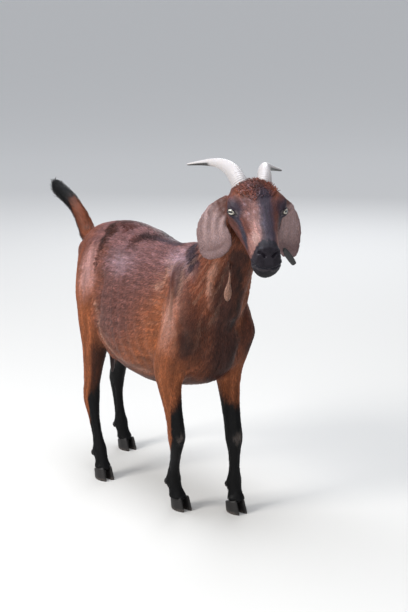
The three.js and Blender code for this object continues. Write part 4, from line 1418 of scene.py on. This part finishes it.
sideways = unit(np.cross(root_normal, way))
bend = (tuft_curl * draw[:, 3] * tuft_length)[:, None] * sideways
middle, middle_normal = laid_on_skin(root + way * (0.45 * tuft_length)[:, None] + bend * 0.6,
                                     0.75 * tuft_lift)
tip, tip_normal = laid_on_skin(root + way * tuft_length[:, None] - bend * 0.3, tuft_lift)
foot = root - root_normal * (0.25 * tuft_width)[:, None]
half = (tuft_width / 2)[:, None]
blade = np.stack([
    foot - sideways * half * 0.55, foot + sideways * half * 0.55, foot + root_normal * half * 0.9,
    middle - sideways * half, middle + sideways * half, middle + middle_normal * half * 0.45,
    tip], 1)
BLADE_FACES = np.array([[0, 2, 1], [0, 1, 4], [0, 4, 3], [1, 2, 5], [1, 5, 4], [2, 0, 3], [2, 3, 5],
                        [3, 4, 6], [4, 5, 6], [5, 3, 6]])
lean = np.array([-0.45, 0.45, 0, -0.45, 0.45, 0, 0])[None, :, None] * sideways[:, None, :]
blade_normals = unit(np.stack([root_normal] * 3 + [middle_normal] * 3 + [tip_normal], 1) + lean)
first = blade[0][BLADE_FACES] - blade[0][0]
print("blades face out:", bool((first[:, 0] * np.cross(first[:, 1], first[:, 2])).sum() > 0))

# %% Colour the tufts
tuft_paint = markings(root, root_normal, root_part)
coat_draw = rng.normal(size=(TUFT_COUNT, 2))
speckled = root_part["trunk"] * blob(root * np.array([1, 0, 1]), (-0.085, 0, 0.480), (0.13, 1, 0.10))
strands = mottle(combed(root, root_normal, root_part) * [1, 0.10, 1], 0.0048, 11)
calm = 1 - 0.6 * (root_part["ear_left"] + root_part["ear_right"])
shade = np.exp(calm * ((0.16 + 0.10 * speckled) * coat_draw[:, 0] + 0.22 * strands))
warmth = 1 + 0.05 * coat_draw[:, 1:2] * np.array([1, 0, -1])
tuft_paint = tuft_paint * shade[:, None] * warmth
# painted shade: each tuft is darker towards its root, deep in the coat, and lighter to its tip
ALONG = np.array([0.55, 0.55, 0.75, 0.95, 0.95, 1.05, 1.25])
tuft_colours = np.clip(tuft_paint[:, None, :] * ALONG[None, :, None], 0, 1)
print("tuft colours:", tuft_colours.mean((0, 1)).round(3))

# %% [markdown]
# ## Materials
# Hair shows fine streaks, lighter and darker, on the skin as well as on the tufts. That effect
# is a node group, built once. The shader itself, with its gloss and sheen, stays in each material.

# %% A node group for fine hair streaks


def add_node(tree, kind, **settings):
    node = tree.nodes.new(kind)
    for label, value in settings.items():
        if hasattr(node, label):
            setattr(node, label, value)
        else:
            node.inputs[label.replace("_", " ")].default_value = value
    return node


def math_node(tree, operation, first, second=None):
    """A Math node. first and second are numbers or another node's outputs."""
    node = tree.nodes.new("ShaderNodeMath")
    node.operation = operation
    for socket, value in zip(node.inputs, (first, second)):
        if isinstance(value, bpy.types.NodeSocket):
            tree.links.new(value, socket)
        elif value is not None:
            socket.default_value = value
    return node.outputs[0]


def product(tree, first, second):
    return math_node(tree, "MULTIPLY", first, second)


def total(tree, first, second):
    return math_node(tree, "ADD", first, second)


def object_place(tree):
    return add_node(tree, "ShaderNodeTexCoord").outputs["Object"]


def noise(tree, place, **settings):
    node = add_node(tree, "ShaderNodeTexNoise", **settings)
    tree.links.new(place, node.inputs["Vector"])
    return node.outputs["Fac"]


def mix_colours(tree, share, first, second, blend="MIX"):
    node = tree.nodes.new("ShaderNodeMix")
    node.data_type = "RGBA"
    node.blend_type = blend
    for socket, value in ((node.inputs[0], share), (node.inputs[6], first), (node.inputs[7], second)):
        if isinstance(value, bpy.types.NodeSocket):
            tree.links.new(value, socket)
        else:
            socket.default_value = value if isinstance(value, (int, float)) else (*value, 1)
    return node.outputs[2]


def ramp(tree, value, low, high):
    """0 where value is below low, 1 above high, smooth between."""
    node = tree.nodes.new("ShaderNodeMapRange")
    node.interpolation_type = "SMOOTHSTEP"
    node.inputs["From Min"].default_value = low
    node.inputs["From Max"].default_value = high
    tree.links.new(value, node.inputs["Value"])
    return node.outputs["Result"]


streaks = bpy.data.node_groups.new("hair_streaks", "ShaderNodeTree")
for label, kind, in_out in (
        ("Colour", "NodeSocketColor", "INPUT"), ("Place", "NodeSocketVector", "INPUT"),
        ("Scale", "NodeSocketFloat", "INPUT"), ("Amount", "NodeSocketFloat", "INPUT"),
        ("Colour", "NodeSocketColor", "OUTPUT"), ("Height", "NodeSocketFloat", "OUTPUT")):
    streaks.interface.new_socket(label, in_out=in_out, socket_type=kind)
given = streaks.nodes.new("NodeGroupInput")
result = streaks.nodes.new("NodeGroupOutput")
grain = noise(streaks, given.outputs["Place"], Detail=3.0, Roughness=0.6)
streaks.links.new(given.outputs["Scale"], grain.node.inputs["Scale"])
centred = math_node(streaks, "SUBTRACT", grain, 0.5)
factor = total(streaks, product(streaks, centred, given.outputs["Amount"]), 1.0)
scaled = streaks.nodes.new("ShaderNodeVectorMath")
scaled.operation = "SCALE"
streaks.links.new(given.outputs["Colour"], scaled.inputs[0])
streaks.links.new(factor, scaled.inputs["Scale"])
streaks.links.new(scaled.outputs[0], result.inputs["Colour"])
streaks.links.new(grain, result.inputs["Height"])
print("node group:", streaks.name)

# %% The coat's hair and the skin under it


def new_material(name, roughness, specular=0.5):
    material = bpy.data.materials.new(name)
    material.use_nodes = True
    shader = material.node_tree.nodes["Principled BSDF"]
    shader.inputs["Roughness"].default_value = roughness
    shader.inputs["Specular IOR Level"].default_value = specular
    return material, material.node_tree, shader


def attribute(tree, name, output):
    """One output, Color, Vector or Fac, of a value that is stored on the mesh."""
    node = tree.nodes.new("ShaderNodeAttribute")
    node.attribute_name = name
    return node.outputs[output]


def streaked(tree, colour, place, scale, amount):
    """The colour with hair streaks in it, and their height."""
    node = tree.nodes.new("ShaderNodeGroup")
    node.node_tree = streaks
    tree.links.new(colour, node.inputs["Colour"])
    tree.links.new(place, node.inputs["Place"])
    node.inputs["Scale"].default_value = scale
    node.inputs["Amount"].default_value = amount
    return node.outputs["Colour"], node.outputs["Height"]


def bumped(tree, shader, height, strength, distance):
    node = add_node(tree, "ShaderNodeBump", Strength=strength, Distance=distance)
    tree.links.new(height, node.inputs["Height"])
    tree.links.new(node.outputs["Normal"], shader.inputs["Normal"])


coat_hair, tree, shader = new_material("bay_coat_hair", 0.38, 0.14)
colour, _ = streaked(tree, attribute(tree, "markings", "Color"), object_place(tree), 700.0, 0.55)
tree.links.new(colour, shader.inputs["Base Color"])
shader.inputs["Sheen Weight"].default_value = 0.03
shader.inputs["Sheen Roughness"].default_value = 0.3
shader.inputs["Sheen Tint"].default_value = (0.70, 0.68, 0.82, 1)

coat_skin, tree, shader = new_material("bay_coat_skin", 0.5, 0.20)
colour, relief = streaked(tree, attribute(tree, "markings", "Color"),
                          attribute(tree, "comb", "Vector"), 1.0, 0.7)
bare_mask = attribute(tree, "bare", "Fac")
# painted shade: the skin is darkened where hair covers it, and keeps its colour where it's bare
shaded_under_hair = mix_colours(tree, bare_mask, (0.72, 0.70, 0.70), (1, 1, 1))
tree.links.new(mix_colours(tree, 1.0, colour, shaded_under_hair, "MULTIPLY"), shader.inputs["Base Color"])
tree.links.new(math_node(tree, "SUBTRACT", 0.56, product(tree, bare_mask, 0.20)),
               shader.inputs["Roughness"])
pebbles = add_node(tree, "ShaderNodeTexVoronoi", Scale=620.0)  # the fine cobbles of a nose pad
tree.links.new(object_place(tree), pebbles.inputs["Vector"])
haired = product(tree, relief, math_node(tree, "SUBTRACT", 1.0, bare_mask))
cobbled = product(tree, pebbles.outputs["Distance"], product(tree, bare_mask, -0.9))
bumped(tree, shader, total(tree, haired, cobbled), 0.55, 0.0006)
print("materials:", coat_hair.name, coat_skin.name)

# %% [markdown]
# The tufts are joined into a few coat pieces, one or more for each part of the body. Each tuft
# also gets a tiny patch on a flat map of its part: how far round the part's centre line the root
# lies, and how far along. A baked picture of the coat can then hold each tuft's own colour.

# %% Join the tufts into coat pieces
MOST_TUFTS = 19600  # of ten triangles each
GROUPS = {"trunk": ["trunk"], "neck": ["neck"], "head": ["head"], "ears": ["ear_left", "ear_right"],
          "forelegs": LIMBS[:2], "hindlegs": LIMBS[2:], "tail_and_udder": ["tail", "udder", "wattle_right"]}
PATCH = 0.003  # a tuft's length on the map, as a share of the map's side
PATCH_SHAPE = PATCH * np.array([[-0.5, 0], [0.5, 0], [0, 0.1], [-0.5, 0.5], [0.5, 0.5], [0, 0.6], [0, 1]])


def add_colours(mesh, colours):
    layer = mesh.color_attributes.new("markings", "FLOAT_COLOR", "POINT")
    opaque = np.column_stack([colours, np.ones(len(colours))])
    layer.data.foreach_set("color", opaque.astype(np.float32).ravel())


def coat_piece(name, shapes, shape_faces, colours, patches, vertex_normals=None):
    """One mesh of many tufts of one shape, with their colours and their patches on the map."""
    count, size = shapes.shape[:2]
    faces = (shape_faces[None] + size * np.arange(count)[:, None, None]).ravel()
    mesh = bpy.data.meshes.new(name)
    mesh.vertices.add(size * count)
    mesh.vertices.foreach_set("co", (shapes - MIDDLE).astype(np.float32).ravel())
    mesh.loops.add(len(faces))
    mesh.loops.foreach_set("vertex_index", faces.astype(np.int32))
    mesh.polygons.add(len(faces) // 3)
    mesh.polygons.foreach_set("loop_start", np.arange(0, len(faces), 3, dtype=np.int32))
    mesh.update(calc_edges=True)
    mesh.polygons.foreach_set("use_smooth", [True] * len(mesh.polygons))
    add_colours(mesh, colours.reshape(-1, 3))
    layer = mesh.uv_layers.new(name="OFBake")
    layer.data.foreach_set("uv", patches.reshape(-1, 2)[faces].astype(np.float32).ravel())
    if vertex_normals is not None:
        mesh.normals_split_custom_set_from_vertices(vertex_normals.reshape(-1, 3).astype(np.float32))
    ob = new_object(name, mesh)
    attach(ob, "root")
    mesh.materials.append(coat_hair)
    print(name + ":", count, "tufts,", len(mesh.polygons), "triangles")
    return ob


owner = owner_of(root_part)
coat = []
for group, names in GROUPS.items():
    map_places = np.zeros((TUFT_COUNT, 2))
    for tile, name in enumerate(names):
        mine = owner == PARTS.index(name)
        around, along = unwrapped(root[mine], root_normal[mine], name)
        map_places[mine, 0] = (tile + 0.01 + 0.98 * around) / len(names)
        map_places[mine, 1] = along
    chosen = np.flatnonzero(np.isin(owner, [PARTS.index(name) for name in names]))
    chosen = chosen[np.argsort(map_places[chosen, 1], kind="stable")]
    share_count = math.ceil(len(chosen) / MOST_TUFTS)
    for number, share in enumerate(np.array_split(chosen, share_count)):
        here = map_places[share]
        low, high = here[:, 1].min(), here[:, 1].max()
        here[:, 1] = 0.003 + 0.99 * (here[:, 1] - low) / (high - low)
        label = f"coat_{group}" + (f"_{number + 1}" if share_count > 1 else "")
        coat.append(coat_piece(label, blade[share], BLADE_FACES, tuft_colours[share],
                               here[:, None] + PATCH_SHAPE, blade_normals[share]))

# %% [markdown]
# Seven points can't make a curl. The curls on the poll and the long hair under the tail are locks
# of ten rings each, wound round the line they grow along. Only a few hundred are needed.

# %% Curled and hanging locks
RINGS, SIDES = 9, 4
LOCK_FACES = []
for ring in range(RINGS - 1):
    for side in range(SIDES):
        a, b = ring * SIDES + side, ring * SIDES + (side + 1) % SIDES
        LOCK_FACES += [(a, b, b + SIDES), (a, b + SIDES, a + SIDES)]
last = (RINGS - 1) * SIDES
LOCK_FACES += [(last + side, last + (side + 1) % SIDES, RINGS * SIDES) for side in range(SIDES)]
LOCK_FACES = np.array(LOCK_FACES + [(0, 2, 1), (0, 3, 2)])


def locks(name, chosen, reach, rise, coil, turns, thick, brighten):
    """Locks of hair on some of the roots. coil is the radius of the curl, rise its height."""
    count = len(chosen)
    draw = rng.normal(size=(count, 4))
    t = np.linspace(0, 1, RINGS + 1)[None, :, None]
    n, ahead = root_normal[chosen][:, None], way[chosen][:, None]
    across = np.cross(n, ahead)
    reach = (reach * np.clip(1 + 0.25 * draw[:, 0], 0.5, 1.6))[:, None, None]
    start = rng.uniform(0, 2 * math.pi, count)[:, None, None]
    spin = start + 2 * math.pi * turns * t * (1 + 0.25 * draw[:, 1][:, None, None])
    wind = coil * np.sqrt(t)
    up = rise * np.sin(math.pi * np.minimum(t, 0.8)) + wind * (1 + np.cos(spin)) - 0.001 * (1 - t)
    line = root[chosen][:, None] + ahead * reach * t + n * up + across * wind * np.sin(spin)
    run = unit(np.gradient(line, axis=1))
    wide = unit(np.cross(run, n + 0 * run))
    thin = np.cross(wide, run)
    swell = thick * np.interp(t[0, :RINGS, 0], [0, 0.2, 0.6, 1], [0.6, 1, 0.85, 0.25])[None, :, None]
    sides = [line[:, :RINGS] + swell * (math.cos(k) * wide + 0.5 * math.sin(k) * thin)[:, :RINGS]
             for k in np.arange(SIDES) * 2 * math.pi / SIDES]
    shapes = np.concatenate([np.stack(sides, 2).reshape(count, -1, 3), line[:, -1:]], 1)
    colour = tuft_paint[chosen] * (1 + brighten * np.clip(draw[:, 2:3], 0, 2) * np.array([1, 0.6, 0.4]))
    # painted shade: each lock is darker towards its root
    root_shade_tones = np.append(np.repeat(np.linspace(0.6, 1.25, RINGS), SIDES), 1.3)
    around, along = unwrapped(root[chosen], root_normal[chosen], PARTS[owner[chosen[0]]])
    patch = PATCH * np.append(np.repeat(np.linspace(0, 0.9, RINGS), SIDES), 1)
    across_patch = PATCH * np.append(np.tile([0.5, 0, -0.5, 0], RINGS), 0)
    places = np.stack([around[:, None] + across_patch, along[:, None] + patch], 2)
    return coat_piece(name, shapes, LOCK_FACES, np.clip(colour[:, None] * root_shade_tones[None, :, None], 0, 1),
                      np.clip(places, 0, 1))


def pick(mask, most):
    """Some of the tufts where mask is true, chosen at random."""
    found = np.flatnonzero(mask)
    return np.sort(rng.permutation(found)[:most])


root_poll, root_fringe, root_brush = at_roots(poll), at_roots(fringe), at_roots(brush)
on_head, on_tail = (owner == PARTS.index(name) for name in ("head", "tail"))
feathered = root_poll > rng.uniform(0.05, 1.0, TUFT_COUNT)
# name, where, how many at most, then reach, rise, coil, turns, thickness and brightness
for name, mask, most, *shape in (
        ("coat_poll_curls", on_head & feathered, 600, 0.013, 0.0022, 0.0017, 1.1, 0.0010, 0.6),
        ("coat_tail_fringe", on_tail & (root_fringe > 0.3), 300, 0.018, 0.0030, 0.0010, 0.6, 0.0010, 0.1),
        ("coat_tail_brush", on_tail & (root_brush > 0.2), 400, 0.019, 0.0030, 0.0008, 0.6, 0.0010, 0.1)):
    coat.append(locks(name, pick(mask, most), *shape))
print("coat pieces:", len(coat), "triangles:", sum(len(ob.data.polygons) for ob in coat))

# %% [markdown]
# On the skin the streaks follow the lie of the hair, because a noise that is stretched along it is
# read from each point's place round and along its part. Object coordinates would stripe the whole
# goat in one direction.

# %% Dress the skin
STREAKS_ROUND, STREAKS_ALONG = 900, 110  # to the metre, so a streak is eight times as long as wide
comb = combed(points, normals, part) * [STREAKS_ROUND, STREAKS_ALONG, 1]
add_colours(skin_mesh, skin_paint)
layer = skin_mesh.attributes.new("comb", "FLOAT_VECTOR", "POINT")
layer.data.foreach_set("vector", comb.astype(np.float32).ravel())
layer = skin_mesh.attributes.new("bare", "FLOAT", "POINT")
layer.data.foreach_set("value", skin_bare.astype(np.float32))
skin_mesh.materials.clear()
skin_mesh.materials.append(coat_skin)
print("skin dressed")

# %% [markdown]
# Horn is keratin, pale and faintly translucent, with dirt in the rings near its root and a black
# underside to its tip. The rings in the material are read from how far up the horn a point is, so
# that they run round it as the modelled ones do.

# %% Horn
ivory, tree, shader = new_material("ivory_horn", 0.40)
along, under = attribute(tree, "along", "Fac"), attribute(tree, "under", "Fac")
blotch = noise(tree, object_place(tree), Scale=55.0, Detail=5.0)
rings = math_node(tree, "SINE", total(tree, product(tree, along, 420.0), product(tree, blotch, 9.0)))
near_root = math_node(tree, "SUBTRACT", 1.0, ramp(tree, along, 0.12, 0.55))
stain = product(tree, product(tree, near_root, ramp(tree, rings, -0.2, 1.0)), 0.42)
colour = mix_colours(tree, stain, (0.44, 0.415, 0.415), (0.16, 0.13, 0.13))
yellowed = product(tree, ramp(tree, blotch, 0.45, 0.8), 0.35)
colour = mix_colours(tree, yellowed, colour, (0.36, 0.30, 0.26))
edge = total(tree, along, product(tree, blotch, 0.12))
tip_dark = product(tree, ramp(tree, edge, 0.74, 0.82), ramp(tree, under, -0.25, 0.25))
colour = mix_colours(tree, tip_dark, colour, (0.020, 0.018, 0.017))
tree.links.new(colour, shader.inputs["Base Color"])
bumped(tree, shader, product(tree, rings, near_root), 0.5, 0.0006)
shader.inputs["Subsurface Weight"].default_value = 0.06
shader.inputs["Subsurface Radius"].default_value = (0.004, 0.003, 0.002)
for ob in horns:
    ob.data.materials.append(ivory)
print("material:", ivory.name)

# %% [markdown]
# The eye is painted by distance from its line of sight: a pale iris with fine spokes, a dark rim,
# and dark skin beyond. A goat's pupil is a level bar with rounded corners. A clear coat over all
# of it gives the wet shine.

# %% Eye
IRIS_EDGE, RIM_EDGE = (0.0068, 0.0086), (0.0088, 0.0096)  # metres from the line of sight
PUPIL = (0.0062, 0.0023)  # half its length and half its height

iris, tree, shader = new_material("eye_ball", 0.04, 0.6)
shader.inputs["Coat Weight"].default_value = 1.0
shader.inputs["Coat Roughness"].default_value = 0.02
gaze = add_node(tree, "ShaderNodeSeparateXYZ")
tree.links.new(attribute(tree, "gaze", "Vector"), gaze.inputs[0])
across, above, _ = gaze.outputs
squares = total(tree, math_node(tree, "POWER", across, 2.0), math_node(tree, "POWER", above, 2.0))
from_sight = math_node(tree, "SQRT", squares)
spokes = add_node(tree, "ShaderNodeCombineXYZ")
tree.links.new(product(tree, math_node(tree, "ARCTAN2", above, across), 0.11), spokes.inputs[0])
tree.links.new(from_sight, spokes.inputs[1])
fibres = noise(tree, spokes.outputs[0], Scale=60.0, Detail=4.0)
colour = mix_colours(tree, ramp(tree, fibres, 0.35, 0.7), (0.61, 0.59, 0.51), (0.40, 0.36, 0.28))
colour = mix_colours(tree, ramp(tree, from_sight, *IRIS_EDGE), colour, (0.12, 0.085, 0.055))
colour = mix_colours(tree, ramp(tree, from_sight, *RIM_EDGE), colour, (0.045, 0.030, 0.028))
sides = [math_node(tree, "POWER", math_node(tree, "DIVIDE", math_node(tree, "ABSOLUTE", way), half), 4.0)
         for way, half in zip((across, above), PUPIL)]  # a fourth power gives a bar with round corners
pupil = ramp(tree, total(tree, *sides), 1.5, 0.7)
colour = mix_colours(tree, pupil, colour, (0.006, 0.006, 0.008))
tree.links.new(colour, shader.inputs["Base Color"])
for ob in eyes:
    ob.data.materials.append(iris)
print("material:", iris.name)

# %% [markdown]
# Hooves are keratin too, but black, layered level with the ground and scuffed towards it. The
# tag is a tough, slightly grainy plastic.

# %% Hoof and tag
keratin, tree, shader = new_material("black_hoof", 0.5, 0.3)
high = add_node(tree, "ShaderNodeSeparateXYZ")
tree.links.new(object_place(tree), high.inputs[0])
height = high.outputs[2]
scuffs = noise(tree, object_place(tree), Scale=140.0, Detail=6.0, Roughness=0.65)
layers = math_node(tree, "SINE", total(tree, product(tree, height, 1500.0), product(tree, scuffs, 7.0)))
colour = mix_colours(tree, product(tree, ramp(tree, layers, -0.5, 1.0), 0.25), (0.010, 0.009, 0.009),
                     (0.030, 0.026, 0.024))
worn = product(tree, ramp(tree, height, 0.010, 0.0), ramp(tree, scuffs, 0.35, 0.65))
colour = mix_colours(tree, product(tree, worn, 0.8), colour, (0.11, 0.09, 0.08))
tree.links.new(colour, shader.inputs["Base Color"])
tree.links.new(total(tree, 0.38, product(tree, scuffs, 0.3)), shader.inputs["Roughness"])
bumped(tree, shader, total(tree, product(tree, layers, 0.4), scuffs), 0.4, 0.0005)
for ob in hooves:
    ob.data.materials.append(keratin)

plastic, tree, shader = new_material("black_tag_plastic", 0.36)
grit = noise(tree, object_place(tree), Scale=900.0, Detail=3.0)
tree.links.new(mix_colours(tree, ramp(tree, grit, 0.4, 0.8), (0.012, 0.012, 0.013), (0.040, 0.039, 0.040)),
               shader.inputs["Base Color"])
bumped(tree, shader, grit, 0.15, 0.0002)
tag_piece.data.materials.append(plastic)
print("materials:", keratin.name, plastic.name)

# %% [markdown]
# ## Floor, light and camera
# A museum model is lit softly, so that a glossy coat shows a pale sheen along the back. One wide
# lamp overhead gives the sheen, a second one on her right shapes the flank, and weaker ones in
# front and behind open up the shadows.

# %% Floor and lights
made = bmesh.new()
bmesh.ops.create_grid(made, x_segments=1, y_segments=1, size=60)
floor = new_object("floor", mesh_from(made, "floor"))
floor_paint, tree, shader = new_material("pale_floor", 0.9)
away = tree.nodes.new("ShaderNodeVectorMath")  # the lamps' light fades far out, so the floor gets paler
away.operation = "LENGTH"
tree.links.new(object_place(tree), away.inputs[0])
tree.links.new(mix_colours(tree, ramp(tree, away.outputs["Value"], 1.0, 7.0), (0.60, 0.59, 0.57),
                           (0.99, 0.99, 0.99)), shader.inputs["Base Color"])
floor.data.materials.append(floor_paint)


def area_lamp(name, place, target, size, power, colour):
    data = bpy.data.lights.new(name, "AREA")
    data.shape = "DISK"
    data.size = size
    data.energy = power
    data.color = colour
    lamp = bpy.data.objects.new(name, data)
    bpy.context.scene.collection.objects.link(lamp)
    lamp.location = place
    lamp.rotation_euler = (Vector(target) - Vector(place)).to_track_quat("-Z", "Y").to_euler()


area_lamp("overhead", (-0.2, -0.3, 3.6), (0, 0, 0.4), 2.4, 115, (0.90, 0.94, 1.0))
area_lamp("key", (-0.5, -3.5, 2.6), (0, 0, 0.45), 1.8, 150, (1.0, 0.98, 0.95))
area_lamp("front", (3.6, -1.2, 1.6), (0, 0, 0.45), 2.2, 22, (1.0, 0.98, 0.95))
area_lamp("behind", (-2.8, 2.6, 2.4), (0, 0, 0.5), 2.0, 40, (0.95, 0.97, 1.0))
world = bpy.data.worlds.new("studio")
world.use_nodes = True
world.node_tree.nodes["Background"].inputs["Color"].default_value = (0.92, 0.95, 1.0, 1)
world.node_tree.nodes["Background"].inputs["Strength"].default_value = 0.48
bpy.context.scene.world = world
bpy.context.scene.view_settings.view_transform = "Standard"

# %% Camera
CAMERA_AT = Vector((3.2543, -2.0188, 1.336))
LOOK_AZIMUTH = math.radians(58.5 - 1.27)  # 0 would look along +Y, 90 along -X
LOOK_DOWN = math.radians(12.6)
CAMERA_ROLL = math.radians(-0.41)
LENS, LONG_SIDE = 92.94, 36.0  # millimetres

forward = Vector((-math.sin(LOOK_AZIMUTH) * math.cos(LOOK_DOWN),
                  math.cos(LOOK_AZIMUTH) * math.cos(LOOK_DOWN), -math.sin(LOOK_DOWN)))
level = forward.cross(Vector((0, 0, 1))).normalized()
above = level.cross(forward)
right = math.cos(CAMERA_ROLL) * level + math.sin(CAMERA_ROLL) * above
up = math.cos(CAMERA_ROLL) * above - math.sin(CAMERA_ROLL) * level
lens = bpy.data.cameras.new("camera")
lens.sensor_width = LONG_SIDE
lens.lens = LENS
camera = bpy.data.objects.new("camera", lens)
bpy.context.scene.collection.objects.link(camera)
camera.matrix_world = Matrix.Translation(CAMERA_AT) @ Matrix((right, up, -forward)).transposed().to_4x4()
bpy.context.scene.camera = camera
print("camera looks along", [round(v, 3) for v in forward])

# %% Update the scene
bpy.context.view_layer.update()
